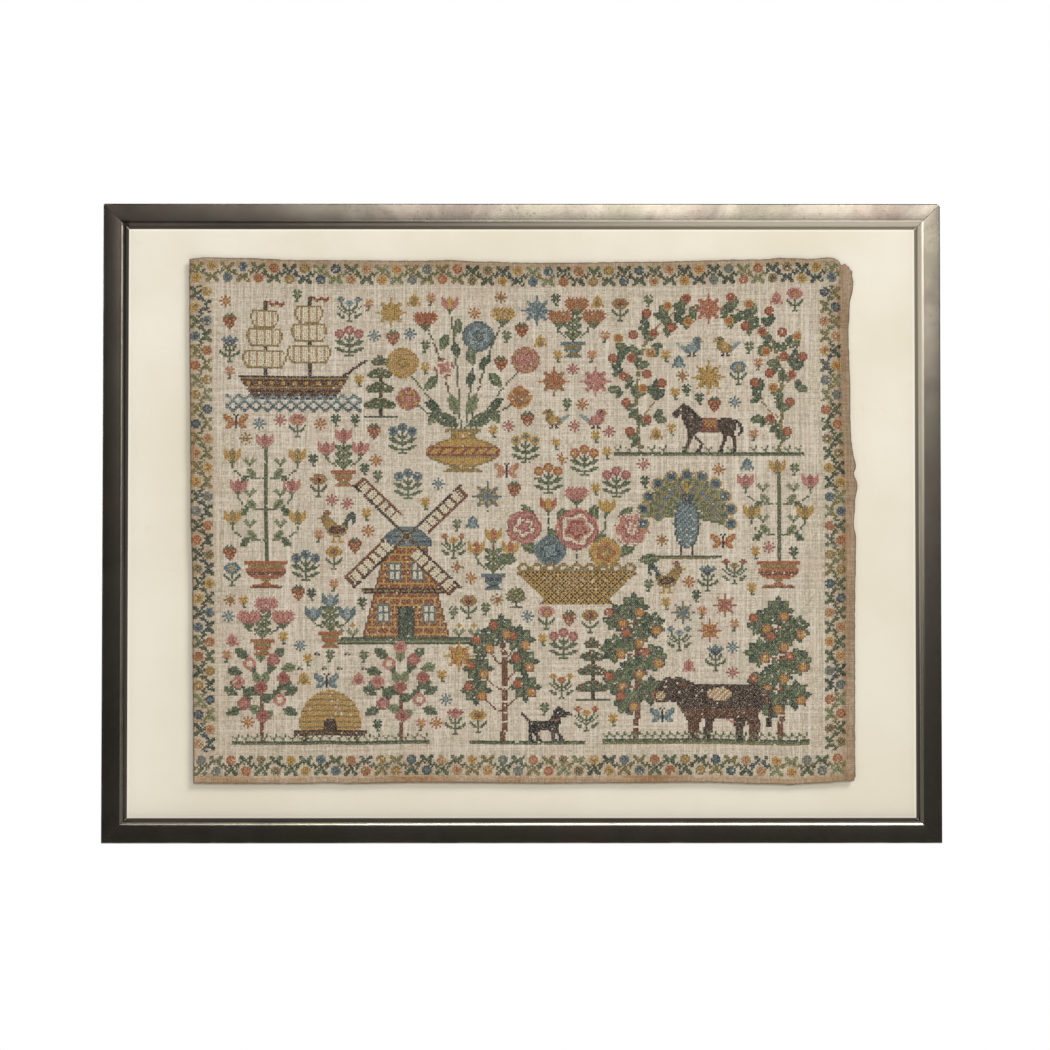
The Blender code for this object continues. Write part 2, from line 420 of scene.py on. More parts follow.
SPRAY = """
.aa.......aa.
aaba.....abaa
.aa..bbb..aa.
..g.bbabb.g..
..g..bbb..g..
g.gg..g..gg.g
.g.gg.g.gg.g.
..g.ggggg.g..
...gg.g.gg...
gg...ggg...gg
.ggg..g..ggg.
..gg..g..gg..
......g......
.....ggg.....
"""
POSY = """
......aaa......
.....aabaa.....
.aaa.abbba.aaa.
aabaaaabaaaabaa
abbba.aaa.abbba
aabaa..g..aabaa
.aaa.g.g.g.aaa.
..g..ggggg..g..
gggg..ggg..gggg
.gggg..g..gggg.
..ggggggggggg..
.....ggggg.....
ggg....g....ggg
.gggg..g..gggg.
...ggggggggg...
.......g.......
.....ggggg.....
"""
PANSY = """
...aaaaa...
..aabbbaa..
.aabbcbbaa.
.aabcccbaa.
..aabcbaa..
...aaaaa...
.g...g...g.
.gg..g..gg.
..gg.g.gg..
...ggggg...
.....g.....
.....g.....
....ggg....
"""
THISTLE = """
.....a.....
..a.aaa.a..
.aaaaaaaaa.
..abababa..
...bbbbb...
..g.bbb.g..
..gg.g.gg..
...g.g.g...
g..ggggg..g
gg...g...gg
.ggg.g.ggg.
..gggggg...
.....g.....
.....g.....
....ggg....
"""
BUSH = """
......g......
....ggagg....
...gagggag...
..ggggagggg..
.gaggggggag..
..gggaggagg..
.ggaggggggag.
..ggggagggg..
....ggngg....
......n......
......n......
...ggnnngg...
"""
SMALL_STAR = """
...a...
.a.a.a.
..aba..
aabbbaa
..aba..
.a.a.a.
...a...
"""
CLOVER = """
.a.a.
aabaa
.bbb.
aabaa
.aga.
..g..
.gg..
"""


class Chart:
    """The stitches of the embroidery, by (column, row), each with its thread's code."""

    def __init__(self):
        self.cells = {}

    def put(self, column, row, thread):
        column = int(round(column))
        row = int(round(row))
        if 0 <= column < CHART_COLUMNS and 0 <= row < CHART_ROWS:
            self.cells[(column, row)] = thread

    def stamp(self, motif, column, row, threads="", mirror=False):
        """Works a motif with its top left cross there. threads pairs a code with another."""
        swap = dict(zip(threads[::2], threads[1::2]))
        lines = motif.split()
        width = max(len(line) for line in lines)
        for down, line in enumerate(lines):
            for across, code in enumerate(line.ljust(width, ".")):
                if code != ".":
                    place = width - 1 - across if mirror else across
                    self.put(column + place, row + down, swap.get(code, code))

    def line(self, start, end, thread, thick=1):
        steps = int(max(abs(end[0] - start[0]), abs(end[1] - start[1]), 1))
        for step in range(steps + 1):
            column = start[0] + (end[0] - start[0]) * step / steps
            row = start[1] + (end[1] - start[1]) * step / steps
            for wide in range(thick):
                self.put(column + wide, row, thread)

    def curve(self, start, bend, end, thread, thick=1):
        """A stem from start to end that leans towards bend. Returns its points."""
        points = []
        steps = 12
        for step in range(steps + 1):
            t = step / steps
            points.append(tuple(
                (1 - t) ** 2 * s + 2 * t * (1 - t) * b + t * t * e
                for s, b, e in zip(start, bend, end)
            ))
        for here, there in zip(points, points[1:]):
            self.line(here, there, thread, thick)
        return points

    def shape(self, column, row, halves, paint):
        """A shape with a middle column: halves has the half width of each row from the top."""
        for down, half in enumerate(halves):
            for across in range(-half, half + 1):
                thread = paint(across, down, half)
                if thread != ".":
                    self.put(column + across, row + down, thread)

    def disc(self, column, row, radius, paint):
        for down in range(-radius, radius + 1):
            for across in range(-radius, radius + 1):
                distance = math.hypot(across, down)
                if distance <= radius + 0.3:
                    thread = paint(across, down, distance)
                    if thread != ".":
                        self.put(column + across, row + down, thread)

    def leaf(self, column, row, degrees, length, width, threads):
        """A pointed leaf that grows from a place. Its threads are the blade and the vein."""
        angle = math.radians(degrees)
        along = (math.cos(angle), -math.sin(angle))
        reach = int(length + width)
        for down in range(-reach, reach + 1):
            for across in range(-reach, reach + 1):
                far = across * along[0] + down * along[1]
                side = across * -along[1] + down * along[0]
                if 0 <= far <= length:
                    half = width / 2 * math.sin(math.pi * min(far / length * 0.94 + 0.04, 1)) ** 0.8
                    if abs(side) <= half:
                        vein = abs(side) < 0.5 and far < length - 1.5
                        self.put(column + across, row + down, threads[1] if vein else threads[0])


def rings(*threads):
    """Paints a disc from its middle outwards, one thread for each ring of about a cross and a half."""
    return lambda across, down, distance: threads[min(int(distance / 1.5), len(threads) - 1)]


def rose_paint(threads, petals, turn):
    """Paints a round flower with waved rings, as a full blown rose has."""
    def paint(across, down, distance):
        wave = 0.9 * math.sin(petals * math.atan2(down, across) + turn + distance * 0.5)
        return threads[int(abs(distance + wave) / 1.6) % len(threads)]
    return paint


def lattice_paint(across, down, half):
    if abs(across) >= half or down == 0:
        return "O"
    return "n" if (across + down) % 4 == 0 or (across - down) % 4 == 0 else "y"


def brick_paint(across, down, half):
    if down % 4 == 0 or (across + 3 * (down // 4 % 2)) % 6 == 0:
        return "y"
    return "r" if (across + down) % 2 else "N"


def banded_paint(threads, band):
    """Paints a pot in level bands, each thread in turn for that many rows."""
    return lambda across, down, half: threads[down // band % len(threads)]


def border_tile(chart, repeat, place, draw):
    """Works one repeat of the vine. place turns the tile's (along, deep) into a (column, row)."""
    pair = BORDER_PAIRS[repeat % len(BORDER_PAIRS)]
    greens = BORDER_GREENS[draw.randrange(len(BORDER_GREENS))]
    threads = {"g": greens[0], "v": greens[1], "k": pair[draw.randrange(2)]}
    for petal, eye in ("Ff", "Ss"):
        threads[petal] = pair[0]
        threads[eye] = pair[1]
    for deep, line in enumerate(BORDER_REPEAT.split()):
        for along, code in enumerate(line):
            if code != "." and draw.random() > BORDER_GAPS:
                column, row = place(repeat * BORDER_STEP + along, deep)
                if min(column, row) >= 0 and column < CHART_COLUMNS and row < CHART_ROWS:
                    chart.put(column, row, threads[code])


def border(chart, draw):
    """The flowering vine on all four sides, its flowers in pairs of one colour."""
    last_column = CHART_COLUMNS - 1
    last_row = CHART_ROWS - 1
    across = CHART_COLUMNS // BORDER_STEP + 1
    down = (CHART_ROWS - 2 * BORDER_DEPTH) // BORDER_STEP
    start = BORDER_DEPTH + (CHART_ROWS - 2 * BORDER_DEPTH - down * BORDER_STEP) // 2

    def on_right(along, deep):
        return last_column - deep, start + along - RIGHT_SHIFT * BORDER_STEP

    def on_bottom(along, deep):
        return along - BOTTOM_SHIFT * BORDER_STEP, last_row - deep

    for repeat in range(down):
        border_tile(chart, repeat, lambda along, deep: (deep, start + along), draw)
        border_tile(chart, repeat + RIGHT_SHIFT, on_right, draw)
    for repeat in range(across):
        border_tile(chart, repeat, lambda along, deep: (along, deep), draw)
        border_tile(chart, repeat + BOTTOM_SHIFT, on_bottom, draw)


def grass(chart, column, row, half, mottle):
    """Two rows of grass that reach as far to both sides, the lower one mottled."""
    for across in range(-half, half + 1):
        chart.put(column + across, row, "G")
        chart.put(column + across, row + 1, "g" if across % mottle else "o")


def tufts(chart, column, row, places):
    """Pairs of blades on a row of grass, at those places along it."""
    for across in places:
        chart.line((column + across, row - 1), (column + across + 1, row - 4), "g")
        chart.line((column + across, row - 1), (column + across - 2, row - 3), "l")


def leaf_ring(chart, column, row, turn, width):
    """Eight leaves round a place, dark and light in turn."""
    for degrees in range(0, 360, 45):
        chart.leaf(column, row, degrees + turn, 8, width, "gl" if degrees % 90 else "Gg")


def star(chart, column, row, size, threads):
    """An eight pointed star whose points are halved in two colours."""
    for down in range(-size, size + 1):
        for across in range(-size, size + 1):
            turn = math.degrees(math.atan2(down, across)) % 45
            bend = math.radians(min(turn, 45 - turn))
            if math.hypot(across, down) * (math.cos(bend) + 2.4 * math.sin(bend)) <= size + 0.3:
                chart.put(column + across, row + down, threads[0] if turn < 22.5 else threads[1])


def urn(chart, column, row, width, threads):
    """A footed urn with its rim at that row. The plant in it is worked first."""
    half = width // 2
    halves = [half, half, half - 2, half - 2, half - 1, half - 1, half - 1, half - 2, half - 3]
    halves += [max(half - 5, 2), 2, 1, 2, half - 4, half - 3]
    chart.shape(column, row, halves, banded_paint(threads, 2))


def pot_plant(chart, column, row, flower, threads, pot="rO", tall=14):
    """A small pot with a middle stem and a pair of side stems, each with a flower."""
    base = row + tall + 9
    chart.line((column, row + 8), (column, base), "v")
    for side in (-1, 1):
        chart.curve((column, base - 2), (column + 8 * side, base - 4), (column + 9 * side, row + 15), "g")
        for down in (3, 7, 11):
            chart.leaf(column, base - down, 90 - side * 55, 5, 3, "gl")
        chart.stamp(flower, column + 9 * side - 4, row + 7, threads, mirror=side < 0)
    chart.stamp(flower, column - 4, row, threads)
    chart.shape(column, base, [6, 6, 4, 4, 4, 3, 2, 3, 4], banded_paint(pot, 2))


def tall_tree(chart, column, top, bottom, threads, side_threads):
    """A tall tulip tree in an urn: level branches that end in tulips, with sprigs between."""
    chart.line((column, top + 6), (column, bottom), "v")
    chart.line((column + 1, top + 6), (column + 1, bottom), "g")
    chart.stamp(TULIP, column - 4, top - 2, threads)
    level = 0
    for row in range(top + 16, bottom - 6, 17):
        reach = 14 if level % 2 else 17
        pair = threads if level % 2 else side_threads
        for side in (-1, 1):
            tip = column + reach * side
            chart.curve((column, row + 6), (tip, row + 6), (tip, row - 2), "g")
            chart.stamp(TULIP, tip - 4, row - 10, pair)
            chart.leaf(column + 5 * side, row + 6, 90 - side * 35, 7, 4, "lg")
            chart.leaf(column + 9 * side, row + 5, -90 + side * 40, 6, 4, "gG")
            chart.stamp(SPRIG, column + 8 * side - 3, row - 5, "gl")
        level += 1
    urn(chart, column, bottom, 23, "rOrN")


def flower_basket(chart, column, row):
    """A wide lattice basket with a scalloped rim and roses, tulips and buds."""
    rim = row + 36
    heads = ((-27, 14, "g"), (-15, 4, "G"), (0, -3, "g"), (15, 5, "g"), (28, 15, "G"))
    for across, down, thread in heads:
        head = (column + across, row + down)
        chart.curve((column + across / 4, rim), (column + across, rim - 8), head, thread)
    for across, down, degrees in (
        (-20, 26, 150), (-9, 22, 120), (9, 24, 60), (21, 27, 25), (-32, 30, 175), (33, 30, 5), (-7, 12, 95),
        (8, 10, 80), (-22, 8, 130), (22, 9, 50),
    ):
        chart.leaf(column + across, row + down, degrees, 11, 6, "gl")
    chart.disc(column - 28, row + 12, 9, rose_paint("pPwP", 5, 0.0))
    chart.disc(column - 14, row + 25, 8, rose_paint("bcBb", 4, 1.0))
    chart.disc(column, row + 13, 11, rose_paint("PpRpw", 5, 0.6))
    chart.disc(column + 15, row + 26, 8, rose_paint("yOry", 5, 2.0))
    chart.disc(column + 29, row + 13, 9, rose_paint("pwPp", 6, 1.4))
    chart.stamp(TULIP, column - 19, row - 4, "arby")
    chart.stamp(TULIP, column + 12, row - 3, "ayby")
    chart.stamp(CARNATION, column - 6, row - 10, "apbP")
    halves = [30, 31, 31, 29, 28, 27, 26, 25, 24, 23, 22, 21, 20, 19, 18, 17, 17, 18, 19]
    chart.shape(column, rim, halves, lattice_paint)
    for across in range(-28, 29, 7):
        chart.disc(column + across, rim - 1, 3, lambda x, y, d: "O" if d > 1.8 and y < 1 else ".")


def apple_arbour(chart, column, row):
    """Two apple trees that meet overhead, with a saddled horse between them on the grass."""
    ground = row + 86
    for side in (-1, 1):
        foot = column + 37 * side
        chart.curve((foot, ground), (foot + 5 * side, row + 40), (foot - 4 * side, row + 22), "o", 2)
        crown = (foot - 4 * side, row + 24)
        chart.curve(crown, (foot - 14 * side, row + 6), (column + 8 * side, row + 5), "o")
        chart.curve((foot, row + 52), (foot + 10 * side, row + 46), (foot + 10 * side, row + 34), "o")
        chart.curve((foot, row + 66), (foot - 9 * side, row + 60), (foot - 10 * side, row + 50), "o")
        twigs = (
            (37, 78, 20), (37, 70, 160), (38, 62, 20), (40, 54, 160), (40, 46, 25), (38, 38, 160),
            (37, 30, 30), (34, 22, 165), (32, 16, 60), (26, 11, 200), (24, 10, 80), (18, 8, 240),
            (14, 6, 90), (46, 40, 40), (47, 36, 90), (28, 56, 130), (28, 52, 90), (9, 5, 260),
            (43, 27, 10), (30, 26, 250), (22, 14, 270), (12, 10, 270), (47, 50, 350), (29, 66, 200),
        )
        for across, down, degrees in twigs:
            turn = degrees if side > 0 else 180 - degrees
            chart.leaf(column + across * side, row + down, turn, 7, 4.4, "gl" if down % 4 else "Gg")
            chart.leaf(column + across * side, row + down, turn + 65, 6, 3.6, "gG")
        for across, down, threads in (
            (42, 74, "Rr"), (33, 67, "rR"), (44, 58, "Rr"), (35, 50, "yr"), (45, 43, "rR"), (33, 42, "Rr"),
            (41, 33, "rR"), (31, 30, "yr"), (40, 20, "Rr"), (29, 19, "rR"), (33, 8, "Rr"), (22, 4, "yr"),
            (20, 16, "Rr"), (12, 0, "rR"), (11, 13, "yr"), (51, 33, "Rr"), (25, 47, "Rr"), (48, 22, "yr"),
        ):
            chart.disc(column + across * side, row + down, 2, rings(threads[1], threads[0]))
    chart.stamp(HORSE, column - 21, ground - 27)
    grass(chart, column, ground, 50, 3)
    open_places = [across for across in range(-48, 49, 6) if abs(across) > 22 or across % 4 == 0]
    tufts(chart, column, ground, open_places)


def ship(chart, column, row):
    """A two masted ship with cream and tan sails on three lines of waves."""
    deck = row + 44
    chart.line((column + 27, deck - 1), (column + 38, deck - 9), "n", 2)
    for mast, top in ((-14, 3), (9, 0)):
        chart.line((column + mast, row + top), (column + mast, deck), "n", 2)
        for sail, half in ((5, 6), (15, 8), (27, 10)):
            halves = [half, half, half + 1, half + 1, half + 1, half + 1, half, half, half - 1, half - 1]
            chart.shape(column + mast, row + top + sail, halves, lambda x, y, h: (
                "O" if y in (0, 9) or abs(x) == h else "w" if x % 4 else "t"))
        for step in range(9):
            drop = (0, 0, 1, 1, 0, 0, 1, 1, 0)[step]
            chart.put(column + mast + 2 + step, row + top + drop, "R")
            chart.put(column + mast + 2 + step, row + top + 1 + drop, "R" if step % 3 else "y")
    for down in range(13):
        for across in range(-27 + down * 9 // 13, 30 - down * 8 // 13):
            port = down in (3, 4) and across % 6 in (1, 2)
            plank = "O" if down in (1, 6) else "N" if down % 2 else "n"
            chart.put(column + across, deck + down, "y" if port else plank)
    for wave in range(3):
        for across in range(-34, 37):
            lift = (0, 1, 2, 2, 1, 0)[(across + 3 * wave) % 6]
            chart.put(column + across, deck + 12 + 3 * wave - lift, "bcB"[wave])
            chart.put(column + across, deck + 13 + 3 * wave - lift, "cbb"[wave])


def peacock(chart, column, row):
    """A peacock with its tail spread in a fan of feathers that end in eyes."""
    middle = row + 27
    for down in range(-26, 10):
        for across in range(-26, 27):
            distance = math.hypot(across, down)
            degrees = math.degrees(math.atan2(-down, across))
            if 7 <= distance <= 24.5 and -14 <= degrees or degrees > 190:
                feather = int((degrees + 15) // 7)
                if distance < 22 or feather % 2:
                    thread = "gl"[feather % 2] if (across + down) % 5 else "o"
                    chart.put(column + across, middle + down, thread)
    for step in range(11):
        angle = math.radians(-10 + 20 * step)
        for reach, eye in ((23, 3), (15, 2)):
            turn = angle + (math.radians(10) if reach == 15 else 0)
            if reach == 15 and step == 10:
                continue
            place = (round(column + math.cos(turn) * reach), round(middle - math.sin(turn) * reach))
            chart.disc(place[0], place[1], eye, rings("B", "b", "y") if eye == 3 else rings("b", "O"))
    for down in range(-11, 14):
        half = int(7 * math.sqrt(max(0, 1 - (down / 13.5) ** 2)))
        for across in range(-half, half + 1):
            thread = "B" if abs(across) == half else "b" if (across + down) % 3 else "c"
            chart.put(column + across, middle + 4 + down, thread)
    chart.shape(column, middle - 13, [1, 2, 3, 3, 2, 2, 2], lambda x, y, h: "y" if y == 3 and x == 0 else "B")
    for across in (-3, 0, 3):
        chart.line((column, middle - 13), (column + across, middle - 18), "y")
    for side in (-3, 3):
        chart.line((column + side, middle + 17), (column + side, middle + 21), "n")
    chart.line((column - 18, middle + 22), (column + 18, middle + 22), "G")
    chart.line((column - 15, middle + 23), (column + 15, middle + 23), "o")


def big_vase(chart, column, row):
    """A round yellow vase with a spray of round flowers, carnations and tulips."""
    rim = row + 64
    stems = (
        (-32, 28, "g"), (-20, 6, "v"), (-7, -2, "g"), (8, 14, "g"), (21, 4, "v"), (33, 26, "g"),
        (-29, 47, "g"), (30, 46, "v"),
    )
    for across, down, thread in stems:
        bend = (column + across * 0.5, min(row + down + 20, rim - 6))
        chart.curve((column + across / 6, rim), bend, (column + across, row + down), thread)
        chart.leaf(column + across * 0.62, row + down + 14, 90 + across * 1.2, 10, 5.5, "gl")
        chart.leaf(column + across * 0.42, row + min(down + 26, 54), 90 - across * 1.6, 9, 4.5, "Gg")
    for side in (-1, 1):
        chart.leaf(column + 3 * side, rim - 2, 90 - side * 62, 15, 7, "gG")
        chart.leaf(column + 2 * side, rim - 8, 90 - side * 24, 13, 6, "lg")
    chart.disc(column - 32, row + 27, 8, rose_paint("yOyt", 5, 0.3))
    chart.stamp(CARNATION, column - 26, row - 1, "arbR")
    chart.stamp(TULIP, column - 11, row - 9, "apby")
    chart.disc(column + 8, row + 12, 8, rose_paint("bBcb", 6, 0.5))
    chart.stamp(CARNATION, column + 15, row - 4, "aybO")
    chart.disc(column + 33, row + 25, 7, rose_paint("PpPt", 5, 1.1))
    chart.disc(column - 29, row + 47, 6, rose_paint("pPyP", 4, 0.0))
    chart.disc(column + 30, row + 46, 6, rose_paint("rOry", 5, 0.0))
    chart.disc(column - 10, row + 30, 5, rose_paint("PpwP", 4, 0.8))
    halves = [9, 9, 7, 6, 6, 7, 10, 13, 15, 17, 18, 19, 19, 19, 19, 18, 17, 15, 13, 10, 7, 6, 8, 10]

    def paint(across, down, half):
        if down < 2 or down > 21:
            return "O"
        if 10 <= down <= 14:
            return "R" if (across + down) % 6 in (0, 1) or down in (10, 14) else "y"
        return "O" if abs(across) > half - 3 or down % 5 == 0 else "y"

    chart.shape(column, rim, halves, paint)


def windmill(chart, column, row):
    """A tower mill: brick body, blue cap, lattice sails, a stage and a green door."""
    foot = row + 84
    for down in range(50):
        half = 11 + down * 12 // 50
        chart.shape(column, row + 34 + down, [half], lambda x, y, h, d=down: (
            "N" if abs(x) == h else brick_paint(x, d, h)))
    chart.shape(column, row + 23, [4, 6, 8, 9, 10, 11, 12, 13, 13, 13, 13],
                lambda x, y, h: "B" if y % 3 == 2 or abs(x) == h else "b")
    chart.shape(column, row + 57, [23, 23, 22], lambda x, y, h: "n" if y != 1 or x % 3 == 0 else "O")
    for side in (-1, 1):
        for down, across in ((43, 6), (66, 12)):
            for y in range(10):
                for x in range(7):
                    bar = x in (0, 3, 6) or y in (0, 4, 9)
                    chart.put(column + side * across + x - 3, row + down + y, "b" if bar else "w")
    for y in range(17):
        for x in range(-4, 5):
            jamb = abs(x) == 4 or y == 0
            chart.put(column + x, foot - 17 + y, "n" if jamb else "l" if x == 2 and y == 9 else "G")
    hub = (column, row + 28)
    for turn in (45, 135, 225, 315):
        along = (math.cos(math.radians(turn)), -math.sin(math.radians(turn)))
        cross = (-along[1], along[0])
        for half_step in range(20, 78):
            step = half_step / 2
            for half_out in range(2, 15):
                out = half_out / 2
                bar = half_step % 9 < 2 or out > 6 or half_step > 75
                x = hub[0] + along[0] * step + cross[0] * out
                y = hub[1] + along[1] * step + cross[1] * out
                chart.put(x, y, "N" if bar else "w")
        chart.line(hub, (hub[0] + along[0] * 39, hub[1] + along[1] * 39), "n", 2)
    chart.disc(hub[0], hub[1], 2, rings("k", "O"))
    for down, half, thread in ((84, 34, "G"), (85, 38, "g"), (86, 40, "l"), (87, 36, "G")):
        chart.line((column - half, row + down), (column + half, row + down), thread)
    for across in range(-36, 37, 8):
        if abs(across) > 24:
            chart.stamp(SPRIG, column + across - 3, row + 79, "gl")
            chart.disc(column + across, row + 77, 1, rings("y", "r"))


def beehive_garden(chart, column, row):
    """A straw beehive on its stand between two rose bushes, with bees, on a strip of grass."""
    base = row + 52
    halves = [2, 5, 7, 9, 10, 11, 12, 13, 13, 14, 14, 15, 15, 15, 15, 16, 16, 16, 16, 16, 16, 15]
    chart.shape(column, base - 28, halves, lambda x, y, h: (
        "n" if y > 15 and abs(x) < 4 and (y > 16 or abs(x) < 3) else
        "O" if y % 3 == 2 else "t" if (x + y) % 4 == 0 else "y"))
    chart.shape(column, base - 6, [19, 19, 18], lambda x, y, h: "N" if y == 1 else "n")
    for side in (-1, 1):
        chart.line((column + 13 * side, base - 3), (column + 14 * side, base), "n", 2)
        for across, down in ((8, 4), (17, 12), (4, 12), (20, 22)):
            bee = (column + across * side, row + down)
            chart.line(bee, (bee[0] + 2, bee[1]), "k")
            chart.put(bee[0] + 1, bee[1], "y")
            chart.line((bee[0], bee[1] - 1), (bee[0] + 1, bee[1] - 1), "c")
        stem = column + 37 * side
        chart.line((stem, row + 20), (stem, base), "N", 2)
        for across, down, degrees in (
            (0, 40, 40), (0, 36, 150), (0, 30, 30), (0, 26, 155), (0, 20, 60), (0, 20, 120),
            (-6, 30, 110), (7, 30, 70), (-9, 22, 160), (9, 22, 20), (-4, 14, 100), (5, 14, 80),
            (-11, 34, 200), (12, 34, -20), (-10, 14, 170), (11, 12, 10), (0, 8, 90), (-7, 6, 140),
            (7, 6, 45), (-13, 26, 150), (13, 26, 30),
        ):
            chart.leaf(stem + across, row + down, degrees, 8, 5, "gG" if down % 4 else "lg")
        for across, down, threads in (
            (-9, 31, "Pp"), (10, 29, "pw"), (0, 22, "PR"), (-12, 19, "pP"), (12, 17, "PR"), (-6, 9, "pw"),
            (7, 7, "Pp"), (0, 0, "pP"), (1, 38, "PR"),
        ):
            chart.disc(stem + across, row + down, 3, rings(threads[1], threads[0], threads[0]))
    grass(chart, column, base, 52, 4)
    tufts(chart, column, base, range(-50, 51, 5))


def dog_under_tree(chart, column, row):
    """A black dog with a red collar by a tall leafy tree."""
    ground = row + 66
    trunk = column - 14
    chart.curve((trunk, ground), (trunk + 3, row + 34), (trunk, row + 12), "N", 3)
    for across, down in ((-12, 26), (12, 22), (-9, 12), (10, 10), (0, 4), (-13, 38), (13, 36)):
        chart.curve((trunk + 1, row + down + 12), (trunk + across * 0.5, row + down + 8),
                    (trunk + across, row + down), "N")
        leaf_ring(chart, trunk + across, row + down, 0, 4.5)
        chart.disc(trunk + across + 3, row + down + 3, 2, rings("y", "r"))
        chart.disc(trunk + across - 4, row + down - 2, 2, rings("r", "R"))
    chart.stamp(DOG, column - 3, ground - 19)
    grass(chart, column, ground, 30, 3)


def small_tree(chart, column, row, threads):
    """A clipped tree in three tiers with fruit."""
    chart.line((column, row + 8), (column, row + 34), "n", 2)
    for level, half in ((24, 8), (15, 7), (7, 6), (0, 4)):
        halves = [max(half - 5, 1), half - 3, half - 1, half, half, half - 1]
        chart.shape(column, row + level, halves, lambda x, y, h: (
            threads[2] if (x * 2 + y) % 9 == 0 else threads[(x + y) % 2]))
    chart.line((column - 8, row + 34), (column + 9, row + 34), "G")


def patch(chart, column, row, corners, paint):
    """Fills an outline of corners, given from a top left cross, with what paint gives."""
    low = min(y for x, y in corners)
    high = max(y for x, y in corners)
    for y in range(low, high + 1):
        crossings = []
        for (x0, y0), (x1, y1) in zip(corners, corners[1:] + corners[:1]):
            if min(y0, y1) <= y + 0.01 < max(y0, y1):
                crossings.append(x0 + (x1 - x0) * (y + 0.01 - y0) / (y1 - y0))
        crossings.sort()
        for start, end in zip(crossings[::2], crossings[1::2]):
            for x in range(round(start), round(end) + 1):
                chart.put(column + x, row + y, paint(x, y))


def cow(chart, column, row):
    """A dark brown cow that stands with its head to the left, its top left at that place."""
    def hide(x, y):
        if (x - 34) ** 2 / 40 + (y - 15) ** 2 / 14 < 1 or (x - 3) ** 2 + (y - 16) ** 2 < 6:
            return "t" if (x + y) % 3 else "w"
        return "N" if y > 22 and (x + y) % 2 else "k" if (x * 3 + y * 5) % 11 == 0 else "n"

    for legs in (((27, 27), (31, 27), (29, 40), (26, 40)), ((42, 26), (47, 26), (46, 40), (43, 40))):
        patch(chart, column, row, legs, lambda x, y: "k" if y > 37 else "n")
    patch(chart, column, row, (
        (0, 16), (2, 10), (6, 6), (14, 6), (20, 9), (30, 10), (52, 9), (57, 12), (58, 20), (54, 25), (55, 32),
        (54, 40), (50, 40), (50, 32), (47, 27), (40, 29), (24, 28), (23, 33), (22, 40), (18, 40), (18, 31),
        (15, 25), (11, 19), (5, 20), (1, 19)), hide)
    for start, end, thread, thick in (
        ((4, 6), (2, 1), "w", 2), ((9, 6), (12, 1), "w", 2), ((12, 9), (16, 11), "N", 2),
        ((57, 12), (60, 17), "n", 2), ((60, 17), (60, 27), "n", 2), ((59, 28), (59, 32), "k", 3),
        ((19, 39), (21, 39), "k", 1), ((51, 39), (53, 39), "k", 1),
        ((38, 29), (42, 30), "p", 1), ((5, 11), (6, 11), "w", 1),
    ):
        chart.line((column + start[0], row + start[1]), (column + end[0], row + end[1]), thread, thick)


def fruit_tree(chart, column, row, ground, fruit):
    """A tall narrow tree of leafy clusters with round fruit."""
    chart.curve((column, ground), (column + 2, (row + ground) // 2), (column, row + 6), "N", 3)
    tall = ground - row
    clusters = (
        (0, 0.06), (-9, 0.14), (9, 0.19), (0, 0.28), (-10, 0.36), (10, 0.42), (0, 0.50), (-9, 0.59),
        (9, 0.66), (-3, 0.73),
    )
    for index, (across, share) in enumerate(clusters):
        place = (column + across, row + round(share * tall))
        chart.line((column + 1, place[1] + 4), place, "N")
        leaf_ring(chart, place[0], place[1], 11 * index, 5)
        chart.disc(place[0] + 3, place[1] + 3, 2, rings("y", fruit))
        if index % 2:
            chart.disc(place[0] - 4, place[1] - 3, 2, rings(fruit, "R"))


def cow_between_trees(chart, column, row):
    """The cow on a strip of grass between two fruit trees."""
    ground = row + 78
    fruit_tree(chart, column - 38, row, ground, "r")
    fruit_tree(chart, column + 38, row + 3, ground, "r")
    cow(chart, column - 27, ground - 40)
    for x, y, thread in ((-12, 8, "b"), (10, 4, "P"), (2, 18, "r")):
        star(chart, column + x, row + y, 6, thread + "y")
    for across in range(-54, 55):
        for down, thread in enumerate("Ggo"):
            chart.put(column + across, ground + down, thread if (across + down) % 7 else "l")
    tufts(chart, column, ground, range(-52, 53, 4))


def is_free(chart, motif, column, row, margin):
    lines = motif.split()
    width = max(len(line) for line in lines)
    return not any(
        (x, y) in chart.cells
        for x in range(column - margin, column + width + margin)
        for y in range(row - margin, row + len(lines) + margin)
    )


def scatter(chart, draw):
    """Fills the bare linen between the large motifs with small ones, the larger of them first."""
    left, top = 15, 14
    for motif, palettes, margin, tries in (
        (POSY, ("aPbp", "abbB", "arby", "ayOr"), 1, 900),
        (THISTLE, ("aPbp", "abbB", "apbr"), 1, 500),
        (SPRAY, ("arby", "apbP", "abbc", "aybr", "aRbO"), 1, 900),
        (PANSY, ("apbPcy", "abbccy", "aybOcR", "aObrcn"), 1, 900),
        (BUSH, ("ar", "aR", "ay", "ap"), 1, 400),
        (BIRD, ("aObybr", "abbc", "aPbp", "anbN"), 1, 400),
        (BUTTERFLY, ("apby", "abbc", "arby"), 1, 200),
        (BELLFLOWER, ("apbP", "abbc", "aybO"), 1, 300),
        (STRAWBERRY, ("",), 1, 500),
        (SMALL_STAR, ("arby", "abbc", "aPbp", "aObr"), 1, 1500),
        (CLOVER, ("agbl", "aGbg", "apby", "ayby"), 1, 2500),
    ):
        for index in range(tries):
            column = draw.randrange(left, CHART_COLUMNS - left - 12)
            row = draw.randrange(top, CHART_ROWS - top - 12)
            if column + 13 < CHART_COLUMNS - left and is_free(chart, motif, column, row, margin):
                if row + len(motif.split()) < CHART_ROWS - top:
                    chart.stamp(motif, column, row, palettes[index % len(palettes)], mirror=index % 2 == 1)


